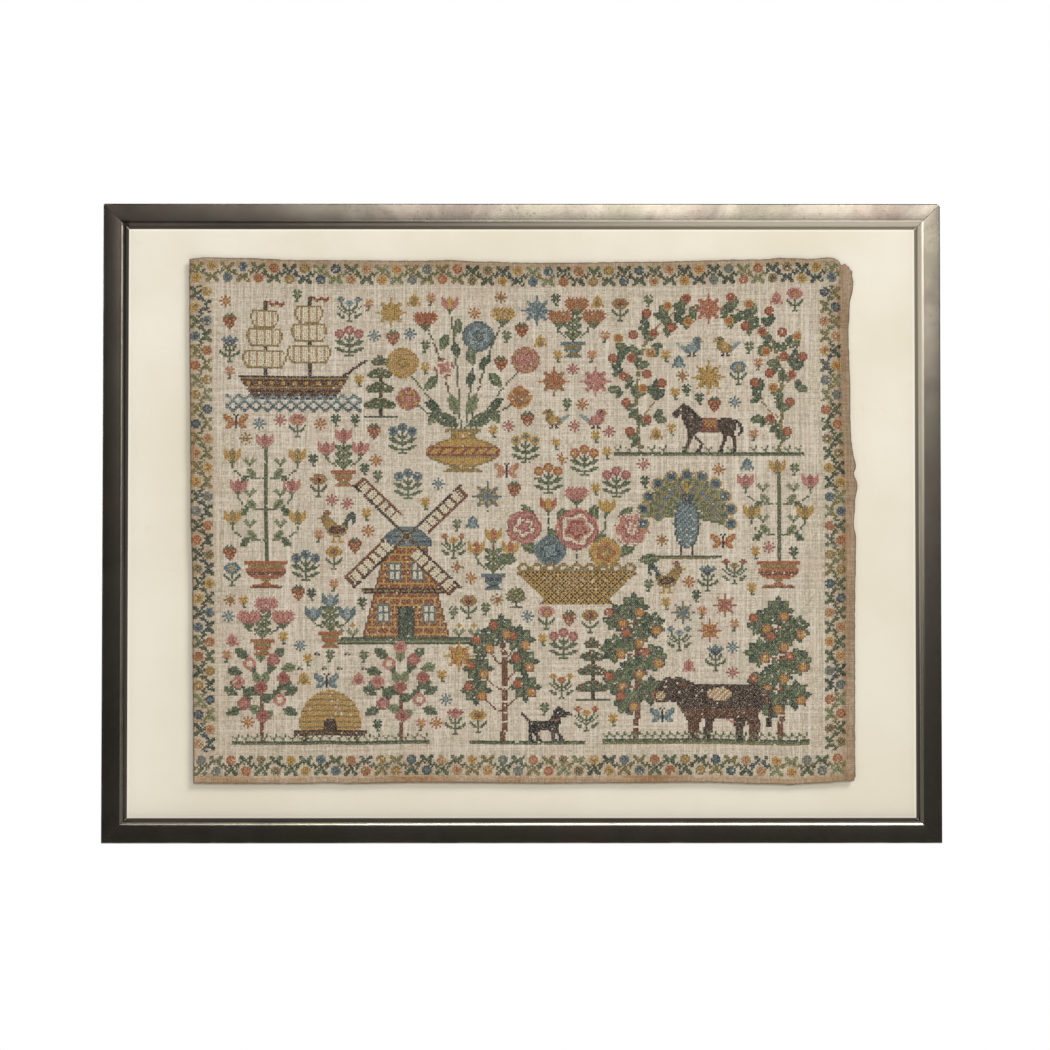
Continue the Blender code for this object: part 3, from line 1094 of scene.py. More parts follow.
def field(chart, draw):
    """The picture inside the border: a plain arrangement of ordinary sampler motifs."""
    ship(chart, 52, 18)
    big_vase(chart, 142, 27)
    apple_arbour(chart, 272, 18)
    tall_tree(chart, 38, 96, 164, "apbP", "aybO")
    tall_tree(chart, 308, 110, 164, "aybO", "apbP")
    windmill(chart, 112, 122)
    flower_basket(chart, 202, 133)
    peacock(chart, 260, 112)
    beehive_garden(chart, 72, 211)
    dog_under_tree(chart, 176, 197)
    cow_between_trees(chart, 270, 184)
    pot_plant(chart, 200, 17, CARNATION, "arbO", "bO", 16)
    pot_plant(chart, 79, 91, TULIP, "apbP", "rO", 14)
    pot_plant(chart, 36, 184, CARNATION, "apbP", "rO", 14)
    pot_plant(chart, 72, 182, TULIP, "abbc", "rO", 12)
    pot_plant(chart, 158, 146, TULIP, "aybr", "bB", 16)
    chart.stamp(COCKEREL, 66, 136)
    chart.stamp(COCKEREL, 240, 164, mirror=True)
    chart.stamp(BIRD, 184, 80, "aOby", mirror=True)
    chart.stamp(BIRD, 204, 80, "aPbp")
    chart.stamp(BIRD, 255, 40, "abbc")
    chart.stamp(BIRD, 275, 40, "aOby", mirror=True)
    for column, row, size, threads in (
        (104, 26, 8, "yO"), (181, 24, 8, "bc"), (190, 64, 8, "rO"), (212, 64, 8, "pP"),
        (140, 216, 8, "yr"), (155, 128, 8, "by"), (272, 24, 8, "rp"), (272, 62, 9, "yO"),
    ):
        star(chart, column, row, size, threads)
    for column, row, threads in ((98, 50, "Ggy"), (210, 206, "Ggr")):
        small_tree(chart, column, row, threads)


def make_chart():
    draw = random.Random(CHART_SEED)
    chart = Chart()
    field(chart, draw)
    border(chart, draw)
    scatter(chart, draw)
    return chart


# Cloth shape, the same as in the CAD source

def smooth_step(value):
    value = min(max(value, 0.0), 1.0)
    return value * value * (3 - 2 * value)


def read_table(table, along):
    """Reads an edge's table at a distance along it, with eased steps between its rows."""
    along = along / MM
    for (before, low), (after, high) in zip(table, table[1:]):
        if along <= after:
            share = smooth_step((along - before) / (after - before))
            return (low + (high - low) * share) * MM
    return table[-1][1] * MM


def edge_pull(edge, along, inward):
    """How far an edge's wander and ripples carry a point outwards, at a distance inside the edge."""
    pull = 0.0
    if inward < WANDER_REACH:
        pull += read_table(WANDER[edge], along) * (1 - smooth_step(inward / WANDER_REACH))
    if inward < RIPPLE_REACH:
        pull += read_table(RIPPLES[edge], along) * (1 - smooth_step(inward / RIPPLE_REACH))
    return pull


def edge_distances(from_left, from_top):
    return {
        "left": from_left,
        "right": CLOTH_WIDTH - from_left,
        "top": from_top,
        "bottom": CLOTH_HEIGHT - from_top,
    }


def hem_share(from_left, from_top):
    """How much of the hem's extra thickness a point has: 1 on the hem, 0 on the field."""
    distances = edge_distances(from_left, from_top)
    share = 0.0
    for edge, width in HEM_WIDTHS.items():
        share = max(share, 1 - smooth_step((distances[edge] - width + HEM_STEP) / HEM_STEP))
    return share


def cloth_lift(from_left, from_top):
    """How far the cloth's back stands off the board."""
    across = from_left / CLOTH_WIDTH
    down = from_top / CLOTH_HEIGHT
    distances = edge_distances(from_left, from_top)
    lift = 0.0
    for edge, height, reach, waves, depth in EDGE_LIFTS:
        if distances[edge] < reach * MM:
            along = down if edge in ("left", "right") else across
            fade = (1 - smooth_step(distances[edge] / (reach * MM))) ** 1.5
            wave = 0.5 + 0.5 * math.sin(2 * math.pi * waves * along + 1.3 * waves)
            lift = max(lift, fade * (height - depth * wave) * MM)
    cockle = math.sin(7.1 * across + 3.7 * down) * math.sin(5.3 * down - 2.2 * across + 0.8)
    return CLEARANCE + lift + FIELD_COCKLE * (0.5 + 0.5 * cockle)


def cloth_place(from_left, from_top):
    """The (x, z) of a point of the cloth, carried along with the four uneven edges."""
    x = CLOTH_LEFT + from_left
    x -= edge_pull("left", from_top, from_left)
    x += edge_pull("right", from_top, CLOTH_WIDTH - from_left)
    z = CLOTH_TOP - from_top
    z += edge_pull("top", from_left, from_top)
    z -= edge_pull("bottom", from_left, CLOTH_HEIGHT - from_top)
    return x, z


def cloth_head(from_left, from_top):
    """How far the cloth's front stands from the wall."""
    foot = MOUNT_FRONT + cloth_lift(from_left, from_top)
    return foot + CLOTH_THICKNESS + HEM_EXTRA * hem_share(from_left, from_top)


# Materials

def linear(colour):
    """A colour from 0 to 255 as it shows, in Blender's linear values."""
    shares = [channel / 255 for channel in colour]
    return tuple(s / 12.92 if s <= 0.04045 else ((s + 0.055) / 1.055) ** 2.4 for s in shares) + (1.0,)


class Surface:
    """A node material under construction, with its Principled shader."""

    def __init__(self, name):
        self.material = bpy.data.materials.new(name)
        self.material.use_nodes = True
        self.tree = self.material.node_tree
        self.shader = self.tree.nodes["Principled BSDF"]
        self.place = self.add("ShaderNodeTexCoord").outputs["Object"]

    def set(self, node, name, value):
        socket = node.inputs[name]
        if isinstance(value, bpy.types.NodeSocket):
            self.tree.links.new(value, socket)
        else:
            socket.default_value = value

    def add(self, kind, settings=(), **inputs):
        node = self.tree.nodes.new(kind)
        for name, value in dict(settings).items():
            setattr(node, name, value)
        for name, value in inputs.items():
            self.set(node, name.replace("_", " "), value)
        return node

    def math(self, operation, first, second=0.0, third=0.0):
        node = self.add("ShaderNodeMath", {"operation": operation})
        for index, value in enumerate((first, second, third)):
            self.set(node, index, value)
        return node.outputs[0]

    def times(self, first, second):
        return self.math("MULTIPLY", first, second)

    def axis(self, name):
        return self.add("ShaderNodeSeparateXYZ", Vector=self.place).outputs[name]

    def stretch(self, scale):
        """The place with each axis scaled, for streaks and threads."""
        node = self.add("ShaderNodeVectorMath", {"operation": "MULTIPLY"})
        self.set(node, 0, self.place)
        self.set(node, 1, scale)
        return node.outputs[0]

    def noise(self, scale, detail=3.0, roughness=0.5, place=None, distortion=0.0):
        node = self.add("ShaderNodeTexNoise", Vector=place or self.place, Scale=scale, Detail=detail,
                        Roughness=roughness, Distortion=distortion)
        return node.outputs[0]

    def ramp(self, value, low, high, low_out=0.0, high_out=1.0):
        """Eases a value between two levels."""
        node = self.add("ShaderNodeMapRange", {"interpolation_type": "SMOOTHSTEP"}, Value=value)
        levels = {"From Min": low, "From Max": high, "To Min": low_out, "To Max": high_out}
        for name, level in levels.items():
            self.set(node, name, level)
        return node.outputs[0]

    def mix(self, share, first, second, kind="MIX"):
        node = self.add("ShaderNodeMix", {"data_type": "RGBA", "blend_type": kind})
        self.set(node, 0, share)
        self.set(node, 6, linear(first) if isinstance(first, tuple) else first)
        self.set(node, 7, linear(second) if isinstance(second, tuple) else second)
        return node.outputs[2]

    def coats(self, colour, coats):
        """Lays tones on a colour. Columns: value, where a tone starts and is full, its share, tone."""
        for value, low, high, share, tone in coats:
            colour = self.mix(self.ramp(value, low, high, 0.0, share), colour, tone)
        return colour

    def attribute(self, name):
        settings = {"attribute_type": "GEOMETRY", "attribute_name": name}
        return self.add("ShaderNodeAttribute", settings).outputs["Fac"]

    def patchy(self, name, patches, low, high, least):
        """A tone painted on the mesh, weaker in patches, down to its least share."""
        return self.times(self.attribute(name), self.ramp(patches, low, high, least, 1.0))

    def bump(self, height, distance, strength=1.0):
        node = self.add("ShaderNodeBump", Height=height, Distance=distance, Strength=strength)
        self.set(self.shader, "Normal", node.outputs[0])

    def finish(self, colour, roughness, **constants):
        self.set(self.shader, "Base Color", colour)
        self.set(self.shader, "Roughness", roughness)
        for name, value in constants.items():
            self.set(self.shader, name.replace("_", " "), value)
        return self.material


def frame_distance(s):
    """How far inside the frame's outer edge, how far from the mitres, and 1 on upright rails."""
    aside = s.math("SUBTRACT", FRAME_WIDTH / 2, s.math("ABSOLUTE", s.axis("X")))
    drop = s.math("ABSOLUTE", s.math("SUBTRACT", s.axis("Z"), FRAME_MIDDLE))
    below = s.math("SUBTRACT", FRAME_HEIGHT / 2, drop)
    mitre = s.math("ABSOLUTE", s.math("SUBTRACT", aside, below))
    return s.math("MINIMUM", aside, below), mitre, s.math("LESS_THAN", aside, below)


def painted_light_towards_corner(s):
    """Mask of the moulding's painted light: from 0 along the left and lower rails to 1 at the upper right
    corner.
    """
    across = s.times(s.axis("X"), 2 / FRAME_WIDTH)
    up = s.math("MULTIPLY_ADD", s.axis("Z"), 2 / FRAME_HEIGHT, -2 * FRAME_MIDDLE / FRAME_HEIGHT)
    return s.ramp(s.math("ADD", across, up), 0.15, 1.7)


def bare_wood(s, inward, upright):
    """Where the moulding's wood is bare, behind and in the rabbet, and its streaked colour."""
    rabbet = s.times(s.ramp(inward, *RABBET_ZONE), s.ramp(s.axis("Y"), *RABBET_DEPTHS))
    bare = s.math("MAXIMUM", s.ramp(s.axis("Y"), *BACK_DEPTHS), rabbet)
    along = s.mix(upright, s.stretch((14, 500, 500)), s.stretch((500, 500, 14)))
    grain = s.ramp(s.noise(1.0, 4, 0.6, along), 0.35, 0.65)
    return bare, s.mix(grain, WOOD_LIGHT, WOOD_DARK)


def leaf_material():
    """Metal leaf gone dark and cloudy, rubbed on its eased inner edge, over wood bare at the back. The eased
    edge and the lip carry a painted highlight towards the upper right corner, and the left rail's inner edge
    carries painted shade.
    """
    s = Surface("antiqued_leaf")
    inward, mitre, upright = frame_distance(s)
    corner = painted_light_towards_corner(s)
    clouds = s.noise(26, 5, 0.62, distortion=0.6)
    tint = s.noise(17, 4, 0.6)
    specks = s.noise(420, 3, 0.6)
    colour = s.mix(s.ramp(clouds, 0.34, 0.68), LEAF_DARK, LEAF_LIGHT)
    colour = s.coats(colour, (
        (tint, 0.50, 0.66, 0.6, LEAF_OLIVE),
        (tint, 0.48, 0.34, 0.6, LEAF_ROSY),
        (s.noise(70, 4, 0.7), 0.52, 0.72, 0.45, LEAF_LIGHT),
        (specks, 0.60, 0.74, 0.5, LEAF_WORN_AND_SHADE),
    ))
    below_top = s.ramp(s.axis("Z"), FRAME_TOP - 17.0 * MM, FRAME_TOP - 18.0 * MM)
    rubbed = s.times(s.times(s.ramp(inward, *RUBBED_START), s.ramp(inward, *RUBBED_END)), below_top)
    # Painted shade: the left rail's inner edge is darkened, more towards the top, to dull its reflection
    sight = MOULDING_WIDTH - FRAME_WIDTH / 2
    left = s.ramp(s.axis("X"), sight + 1.5 * MM, sight)
    upwards = s.ramp(s.axis("Z"), FRAME_BOTTOM, FRAME_TOP, 0.15, 0.75)
    painted_shade = s.times(s.times(left, s.ramp(inward, *PAINTED_SHADE_ZONE)), upwards)
    # Painted highlight: the eased inner edge turns paler and less metallic towards the upper right corner
    painted_highlight = s.times(s.ramp(inward, *PAINTED_HIGHLIGHT_ZONE), corner)
    lip = s.ramp(inward, *LIP_ZONE)
    bare, wood = bare_wood(s, inward, upright)
    for share, tone in (
        (s.times(rubbed, s.ramp(clouds, 0.25, 0.55, 0.45, 0.9)), EDGE_RUBBED),
        (s.times(s.ramp(inward, *RIM_ZONE), s.ramp(clouds, 0.42, 0.62, 0.1, 0.5)), EDGE_RUBBED),
        (s.times(s.ramp(mitre, *JOINT_ZONE), s.ramp(clouds, 0.3, 0.6, 0.05, 0.2)), LEAF_LIGHT),
        (painted_shade, LEAF_WORN_AND_SHADE),
        (s.times(painted_highlight, 0.9), EDGE_PAINTED_HIGHLIGHT),
        # The lip's painted shade and painted light: darker along the left and lower rails, paler towards the
        # upper right corner
        (s.times(lip, 0.9), s.mix(corner, LIP_PAINTED_SHADE, LIP_PAINTED_LIGHT)),
        (bare, wood),
    ):
        colour = s.mix(share, colour, tone)
    rough = s.math("ADD", s.ramp(clouds, 0.3, 0.7, 0.21, 0.18), s.times(specks, 0.04))
    rough = s.math("ADD", rough, s.times(lip, 0.4))
    rough = s.math("MAXIMUM", rough, s.times(bare, 0.8))
    # Less metallic on the bare wood, the lip and the painted highlight
    bare_lip_and_painted_highlight = s.math("MAXIMUM", bare, s.math("MAXIMUM", lip, painted_highlight))
    s.bump(s.math("ADD", s.times(clouds, 0.35), s.times(specks, 0.08)), 0.12 * MM, 0.4)
    return s.finish(colour, rough, Metallic=s.ramp(bare_lip_and_painted_highlight, 0.0, 1.0, 0.9, 0.1))


def card_material():
    """Ivory mount board: matt paper with faint clouds, foxing and fibres, painted shade towards the bottom,
    painted light towards the left and a paler line along the sight edge.
    """
    s = Surface("ivory_board")
    fine = s.noise(900, 2, 0.6)
    colour = s.mix(s.ramp(s.noise(7, 5, 0.6), 0.35, 0.65), BOARD_LIGHT, BOARD_DARK)
    colour = s.coats(colour, (
        (s.noise(60, 3, 0.65), 0.64, 0.78, 0.28, BOARD_FOXED),
        (fine, 0.3, 0.7, 0.10, BOARD_FIBRE),
        # Painted shade towards the bottom and painted light towards the left
        (s.axis("Z"), FRAME_TOP, FRAME_BOTTOM, 0.5, BOARD_PAINTED_SHADE),
        (s.axis("X"), CLOTH_LEFT, FRAME_WIDTH / -2, 0.3, BOARD_PAINTED_LIGHT),
        (frame_distance(s)[0], MOULDING_WIDTH + 1.9 * MM, MOULDING_WIDTH + 1.1 * MM, 0.35, BOARD_EDGE),
    ))
    s.bump(fine, 0.05 * MM, 0.5)
    return s.finish(colour, 0.92, Specular_IOR_Level=0.25)


def hardboard_material():
    """Brown pressed fibre board, smooth with fine fibres."""
    s = Surface("brown_hardboard")
    fibres = s.noise(1.0, 4, 0.7, s.stretch((260, 260, 900)))
    colour = s.mix(s.ramp(s.noise(9, 4, 0.6), 0.35, 0.65), HARDBOARD_LIGHT, HARDBOARD_DARK)
    colour = s.coats(colour, ((fibres, 0.5, 0.75, 0.5, HARDBOARD_FIBRE),))
    s.bump(fibres, 0.08 * MM, 0.4)
    return s.finish(colour, 0.7, Specular_IOR_Level=0.3)


def linen_material():
    """Plain woven linen with slubs, browned hems, a dark worn rim, old stains and painted shade in streaky
    folds near the right edge.
    """
    s = Surface("sampler_linen")
    weft = s.noise(1.0, 2, 0.55, s.stretch((300, 300, 1700)))
    warp = s.noise(1.0, 2, 0.55, s.stretch((1700, 1700, 300)))
    slubs = s.noise(1.0, 2, 0.5, s.stretch((24, 24, 900)))
    uprights = s.noise(1.0, 2, 0.5, s.stretch((900, 900, 16)))
    folds = s.noise(1.0, 3, 0.6, s.stretch((700, 700, 30)))
    tint = s.noise(55, 3, 0.6)
    weave = s.math("ADD", s.times(weft, 0.5), s.times(warp, 0.5))
    colour = s.mix(s.ramp(weave, 0.60, 0.40), LINEN, LINEN_GAP)
    colour = s.coats(colour, (
        (slubs, 0.54, 0.68, 0.45, LINEN_SLUB),
        (slubs, 0.46, 0.34, 0.36, LINEN_SHADE),
        (uprights, 0.54, 0.68, 0.55, LINEN_SLUB),
        (uprights, 0.46, 0.34, 0.38, LINEN_SHADE),
        (tint, 0.52, 0.72, 0.40, LINEN_PINK),
        (tint, 0.46, 0.28, 0.40, LINEN_GREEN),
    ))
    stain = s.times(s.patchy("soil", s.noise(14, 5, 0.65), 0.3, 0.7, 0.45), 0.75)
    browned = s.patchy("hem", s.noise(45, 4, 0.6), 0.25, 0.75, 0.55)
    rosy = s.patchy("rosy", s.noise(30, 4, 0.6), 0.35, 0.65, 0.2)
    for share, tone in ((stain, LINEN_STAIN), (browned, LINEN_HEM), (rosy, LINEN_ROSY)):
        colour = s.mix(share, colour, tone, "MULTIPLY")
    # Painted shade in streaky folds near the right edge
    colour = s.mix(s.times(s.attribute("fold_shade"), s.ramp(folds, 0.56, 0.36, 0.0, 0.25)), colour, LINEN_EDGE)
    colour = s.mix(s.patchy("rim", s.noise(1500, 1, 0.5), 0.2, 0.8, 0.7), colour, LINEN_EDGE)
    s.bump(s.math("ADD", weave, s.times(s.math("ADD", slubs, uprights), 0.5)), 0.25 * MM, 0.8)
    return s.finish(colour, 0.95, Specular_IOR_Level=0.2, Sheen_Weight=0.15, Sheen_Roughness=0.6)


def thread_material(name, colour):
    """Silk thread, faded in patches and uneven from cross to cross."""
    s = Surface(f"thread_{name}")
    faded = tuple(round(c + (f - c) * THREAD_FADING) for c, f in zip(colour, LINEN))
    deep = tuple(round(c * THREAD_DEPTH) for c in colour)
    crosses = s.noise(850, 1, 0.5)
    tone = s.coats(colour, (
        (s.noise(16, 4, 0.6), 0.50, 0.72, 0.5, faded),
        (crosses, 0.52, 0.34, 0.9, deep),
        (crosses, 0.56, 0.70, 0.8, faded),
    ))
    s.bump(s.noise(2600, 1, 0.5), 0.06 * MM, 0.5)
    return s.finish(tone, 0.6, Specular_IOR_Level=0.3)


def floor_material():
    s = Surface("pale_floor")
    colour = s.mix(s.ramp(s.noise(3, 4, 0.6), 0.3, 0.7), FLOOR, tuple(c - 4 for c in FLOOR))
    s.material.cycles.emission_sampling = "NONE"
    return s.finish(colour, 0.85, Emission_Color=linear(FLOOR), Emission_Strength=FLOOR_GLOW)


def glue_material():
    """Dark glue and dust in the mitres."""
    s = Surface("mitre_glue")
    colour = s.mix(s.ramp(s.noise(300, 3, 0.6), 0.35, 0.65), GLUE_DARK, LEAF_WORN_AND_SHADE)
    return s.finish(colour, 0.8, Specular_IOR_Level=0.2)


# Meshes

def make_mesh(name, points, faces, material, smooth=True):
    mesh = bpy.data.meshes.new(name)
    mesh.from_pydata(points, [], faces)
    mesh.materials.append(material)
    if smooth:
        mesh.shade_smooth()
    thing = bpy.data.objects.new(name, mesh)
    bpy.context.scene.collection.objects.link(thing)
    return thing


# Linen

def mesh_lines(length):
    """Distances of the mesh's lines across one side: close at both edges, even in the field."""
    lines = [0.0] + [line * MM for line in EDGE_LINES]
    inner = lines[-1]
    count = round((length - 2 * inner) / FIELD_STEP)
    lines += [inner + (length - 2 * inner) * step / count for step in range(1, count)]
    return lines + [length - line for line in lines[len(EDGE_LINES)::-1]]


def fuzz(x, z, seed):
    """Uneven cut of the cloth's rim."""
    return EDGE_FUZZ * noise.noise(Vector((x * 420, z * 420, seed))) * 2


def linen_tones(from_left, from_top):
    """How browned, rim dark, soiled and rosy the linen is at a point, and how much painted fold shade it has,
    each from 0 to 1.
    """
    distances = edge_distances(from_left, from_top)
    hem = 0.0
    rim = 0.0
    for edge, band, dark in BROWNED_EDGES:
        reach = band * MM * (1 + 0.35 * noise.noise(Vector((from_left * 45, from_top * 45, band))))
        hem = max(hem, dark * (1 - smooth_step((distances[edge] - reach * 0.75) / (reach * 0.5))))
        rim = max(rim, dark * (1 - smooth_step((distances[edge] - 0.3 * MM) / (0.9 * MM))))
    nearest = min(distances.values())
    soil = 0.35 * (1 - smooth_step(nearest / (60 * MM)))
    soil += 0.65 * (1 - smooth_step((nearest - 14 * MM) / (7 * MM)))
    low = smooth_step((from_top - 0.62 * CLOTH_HEIGHT) / (0.4 * CLOTH_HEIGHT))
    soil += 0.35 * low * (1 - smooth_step(from_left / (0.55 * CLOTH_WIDTH)))
    rosy = 0.8 * (1 - smooth_step((distances["bottom"] - 3.5 * MM) / (5 * MM)))
    rosy = max(rosy, 0.7 * (1 - smooth_step(abs(distances["right"] - 9 * MM) / (4 * MM))))
    rosy = max(rosy, 0.4 * (1 - smooth_step(distances["left"] / (9 * MM))))
    # Where the painted fold shade lies, near the right edge
    fold_shade = 1 - smooth_step((distances["right"] - 8 * MM) / (4 * MM))
    return hem, rim, min(soil, 1.0), rosy, fold_shade


def make_linen(name, material):
    columns = mesh_lines(CLOTH_WIDTH)
    rows = mesh_lines(CLOTH_HEIGHT)
    front = []
    back = []
    tones = []
    for from_top in rows:
        for from_left in columns:
            x, z = cloth_place(from_left, from_top)
            edge = min(edge_distances(from_left, from_top).values())
            if edge == 0.0:
                x += fuzz(x, z, 3.0)
                z += fuzz(x, z, 8.0)
            foot = MOUNT_FRONT + cloth_lift(from_left, from_top)
            worn = 0.25 * MM * (1 - smooth_step(edge / (0.9 * MM)))
            front.append((x, -cloth_head(from_left, from_top) + worn, z))
            back.append((x, -foot, z))
            tones.append(linen_tones(from_left, from_top))
    wide = len(columns)
    high = len(rows)
    size = wide * high
    faces = []
    for row in range(high - 1):
        for column in range(wide - 1):
            a = row * wide + column
            faces.append((a, a + wide, a + wide + 1, a + 1))
            faces.append((a + size, a + 1 + size, a + wide + 1 + size, a + wide + size))
    rim = list(range(wide))
    rim += [row * wide + wide - 1 for row in range(1, high)]
    rim += [(high - 1) * wide + column for column in range(wide - 2, -1, -1)]
    rim += [row * wide for row in range(high - 2, 0, -1)]
    for here, there in zip(rim, rim[1:] + rim[:1]):
        faces.append((here, there, there + size, here + size))
    linen = make_mesh(name, front + back, faces, material)
    for index, tone in enumerate(("hem", "rim", "soil", "rosy", "fold_shade")):
        values = [pick[index] for pick in tones]
        layer = linen.data.attributes.new(tone, "FLOAT", "POINT")
        layer.data.foreach_set("value", values + values)
    return linen


def add_fibre(points, faces, path, radius):
    """A thin three sided fibre along a path, tapered to its tip and closed at both ends."""
    first = len(points)
    last = len(path) - 1
    for step, place in enumerate(path):
        ahead = (Vector(path[min(step + 1, last)]) - Vector(path[max(step - 1, 0)])).normalized()
        aside = ahead.cross(Vector((0, 1, 0))).normalized()
        above = aside.cross(ahead)
        thin = radius * (1 - 0.7 * step / last)
        for turn in (90, 210, 330):
            angle = math.radians(turn)
            points.append(Vector(place) + (aside * math.cos(angle) + above * math.sin(angle)) * thin)
    for step in range(last):
        for turn in range(3):
            a = first + 3 * step + turn
            b = first + 3 * step + (turn + 1) % 3
            faces.append((a, b, b + 3, a + 3))
    end = first + 3 * last
    faces.append((first + 2, first + 1, first))
    faces.append((end, end + 1, end + 2))


def make_fray(name, material):
    """Loose ends of thread along the worn right edge, the torn corner and the other rims."""
    draw = random.Random(FRAY_SEED)
    points = []
    faces = []
    for index in range(FRAY_COUNT):
        if index % 3:
            from_left, from_top = CLOTH_WIDTH, draw.uniform(0.0, 1.0) ** 1.6 * CLOTH_HEIGHT
            heading = Vector((1, 0, draw.uniform(-1.6, 1.6)))
        elif index % 2:
            from_left, from_top = draw.uniform(0.0, CLOTH_WIDTH), CLOTH_HEIGHT
            heading = Vector((draw.uniform(-2.2, 2.2), 0, -1))
        else:
            from_left, from_top = draw.uniform(0.6, 1.0) * CLOTH_WIDTH, 0.0
            heading = Vector((draw.uniform(-2.2, 2.2), 0, 1))
        x, z = cloth_place(from_left, from_top)
        head = cloth_head(from_left, from_top) - 0.55 * MM
        heading = heading.normalized() * draw.uniform(0.7, 2.4) * MM
        bend = Vector((draw.uniform(-0.7, 0.7), 0, draw.uniform(-0.7, 0.7))) * MM
        start = Vector((x, -head, z)) - heading * 0.5
        path = []
        for step in range(5):
            share = step / 4
            arch = Vector((0, -0.15 * MM * math.sin(math.pi * share), 0))
            path.append(start + heading * 1.5 * share + bend * share * share + arch)
        add_fibre(points, faces, path, FRAY_RADIUS)
    return make_mesh(name, points, faces, material)


# Mitres

def make_glue(name, material):
    """Four thin plates of glue, one in each mitre, a little behind the moulding's faces."""
    points = []
    faces = []
    half = GLUE_THICKNESS / 2 / math.sqrt(2)
    for side in (-1, 1):
        for up in (-1, 1):
            first = len(points)
            for skew in (-half, half):
                for inward, front in GLUE_OUTLINE:
                    x = side * (FRAME_WIDTH / 2 - inward * MM + skew)
                    z = FRAME_MIDDLE + up * (FRAME_HEIGHT / 2 - inward * MM - skew)
                    points.append((x, -front * MM, z))
            count = len(GLUE_OUTLINE)
            order = list(range(count)) if side == up else list(range(count - 1, -1, -1))
            faces.append(tuple(first + corner for corner in order))
            faces.append(tuple(first + count + corner for corner in reversed(order)))
            for here, there in zip(order, order[1:] + order[:1]):
                faces.append((first + there, first + here, first + count + here, first + count + there))
    return make_mesh(name, points, faces, material, smooth=False)


# Embroidery

def arm_template(rising):
    """One arm of a cross as a closed, ridged length of thread, the upper arm riding over the lower."""
    rise = UPPER_ARM_RISE if rising else LOWER_ARM_RISE
    end = Vector((ARM_REACH * STITCH_WIDTH, 0, ARM_REACH * STITCH_HEIGHT * (1 if rising else -1)))
    aside = Vector((-end.z, 0, end.x)).normalized() * THREAD_RADIUS
    low = Vector((0, ARM_END_DIP, 0))
    ridge = Vector((0, -rise - THREAD_HEIGHT, 0))
    points = [
        -end - aside + low, -end + aside + low, end + aside + low, end - aside + low,
        end * -RIDGE_SHARE + ridge, end * RIDGE_SHARE + ridge,
    ]
    middle = sum(points, Vector()) / len(points)
    faces = []
    for corners in ((0, 1, 4), (1, 2, 5), (1, 5, 4), (2, 3, 5), (3, 0, 4), (3, 4, 5), (0, 1, 2), (0, 2, 3)):
        a, b, c = (points[corner] for corner in corners)
        outward = (a + b + c) / 3 - middle
        faces.append(corners if (b - a).cross(c - a).dot(outward) > 0 else corners[::-1])
    return points, faces


def make_stitches(chart):
    """The crosses as one mesh for each thread. Returns the pieces."""
    draw = random.Random(STITCH_SEED)
    arms = (arm_template(False), arm_template(True))
    meshes = {code: ([], []) for code in THREADS}
    for (column, row), code in sorted(chart.cells.items()):
        worn = noise.noise(Vector((column * 0.045, row * 0.045, 4.0)))
        if draw.random() < LOST_STITCHES + 0.35 * max(worn - 0.38, 0):
            continue
        across = STITCH_LEFT + (column + 0.5 + draw.uniform(-1, 1) * STITCH_JITTER) * STITCH_WIDTH
        down = STITCH_TOP + (row + 0.5 + draw.uniform(-1, 1) * STITCH_JITTER) * STITCH_HEIGHT
        x, z = cloth_place(across, down)
        centre = Vector((x, -cloth_head(across, down), z))
        points, faces = meshes[code]
        for template, corners in arms:
            first = len(points)
            swell = draw.uniform(0.78, 1.12)
            points.extend(centre + Vector((p.x, p.y * swell, p.z)) * swell for p in template)
            faces.extend((a + first, b + first, c + first) for a, b, c in corners)
    pieces = []
    for code, (name, colour) in THREADS.items():
        points, faces = meshes[code]
        if faces:
            pieces.append(make_mesh(f"stitches_{name}", points, faces, thread_material(name, colour)))
    return pieces


# Camera, lights and floor

def aim(thing, place, target):
    thing.location = place
    thing.rotation_mode = "QUATERNION"
    thing.rotation_quaternion = (Vector(target) - Vector(place)).to_track_quat("-Z", "Y")


def make_camera():
    lens = bpy.data.cameras.new("camera")
    lens.lens = CAMERA_LENS
    lens.sensor_width = CAMERA_SENSOR
    lens.clip_start = 0.05
    lens.clip_end = 50
    camera = bpy.data.objects.new("camera", lens)
    bpy.context.scene.collection.objects.link(camera)
    aim(camera, CAMERA_PLACE, CAMERA_AIM)
    bpy.context.scene.camera = camera


def area_light(name, place, target, size, power, colour):
    lamp = bpy.data.lights.new(name, "AREA")
    lamp.shape = "RECTANGLE"
    lamp.size, lamp.size_y = size
    lamp.energy = power
    lamp.color = colour
    light = bpy.data.objects.new(name, lamp)
    bpy.context.scene.collection.objects.link(light)
    aim(light, place, target)


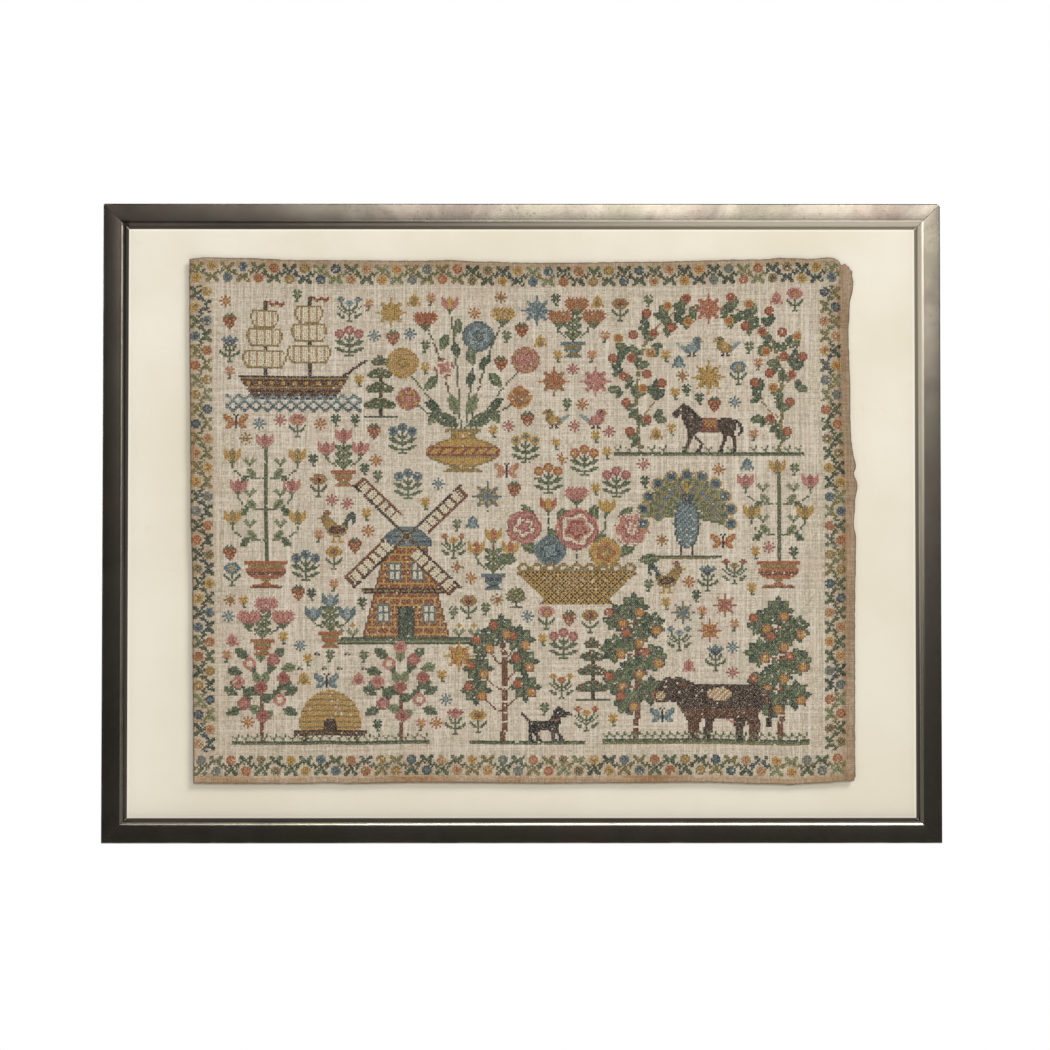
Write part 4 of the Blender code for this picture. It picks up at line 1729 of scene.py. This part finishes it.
def make_lights():
    centre = Vector((0, 0, FRAME_MIDDLE))
    for name, place, size, power, colour in LIGHTS:
        area_light(name, centre + Vector(place), centre, size, power, colour)


def make_world():
    """White to the camera, and a dimmer even light to everything else."""
    world = bpy.data.worlds.new("studio")
    world.use_nodes = True
    tree = world.node_tree
    tree.nodes.clear()
    white = tree.nodes.new("ShaderNodeBackground")
    white.inputs["Color"].default_value = (1, 1, 1, 1)
    white.inputs["Strength"].default_value = 1.0
    even = tree.nodes.new("ShaderNodeBackground")
    even.inputs["Color"].default_value = (1.0, 0.99, 0.97, 1)
    even.inputs["Strength"].default_value = EVEN_LIGHT
    ray = tree.nodes.new("ShaderNodeLightPath")
    mixer = tree.nodes.new("ShaderNodeMixShader")
    output = tree.nodes.new("ShaderNodeOutputWorld")
    tree.links.new(ray.outputs["Is Camera Ray"], mixer.inputs[0])
    tree.links.new(even.outputs[0], mixer.inputs[1])
    tree.links.new(white.outputs[0], mixer.inputs[2])
    tree.links.new(mixer.outputs[0], output.inputs[0])
    bpy.context.scene.world = world


def make_floor(material):
    corners = ((-1, -1), (1, -1), (1, 1), (-1, 1))
    points = [(x * FLOOR_HALF, y * FLOOR_HALF, FRAME_BOTTOM - FLOOR_DROP) for x, y in corners]
    floor = make_mesh("floor", points, [(0, 1, 2, 3)], material, smooth=False)


def main():
    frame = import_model()
    nodes = {name: bpy.data.objects[name] for name in frame["nodes"]}

    leaf = leaf_material()
    for name, node in nodes.items():
        if name.startswith("frame_rail"):
            node.material_slots[0].material = leaf
            node.visible_shadow = False
    nodes["mount_board"].material_slots[0].material = card_material()
    nodes["backing_board"].material_slots[0].material = hardboard_material()

    glue = make_glue("mitre_glue", glue_material())
    glue.visible_shadow = False
    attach(glue, "root")

    cloth_look = linen_material()
    linen = make_linen("sampler_linen", cloth_look)
    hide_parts("sampler_cloth")
    fray = make_fray("sampler_fray", cloth_look)
    stitches = make_stitches(make_chart())
    for piece in [linen, fray] + stitches:
        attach(piece, "root")

    make_camera()
    make_world()
    make_lights()
    make_floor(floor_material())
    bpy.context.scene.view_settings.view_transform = "Standard"


main()
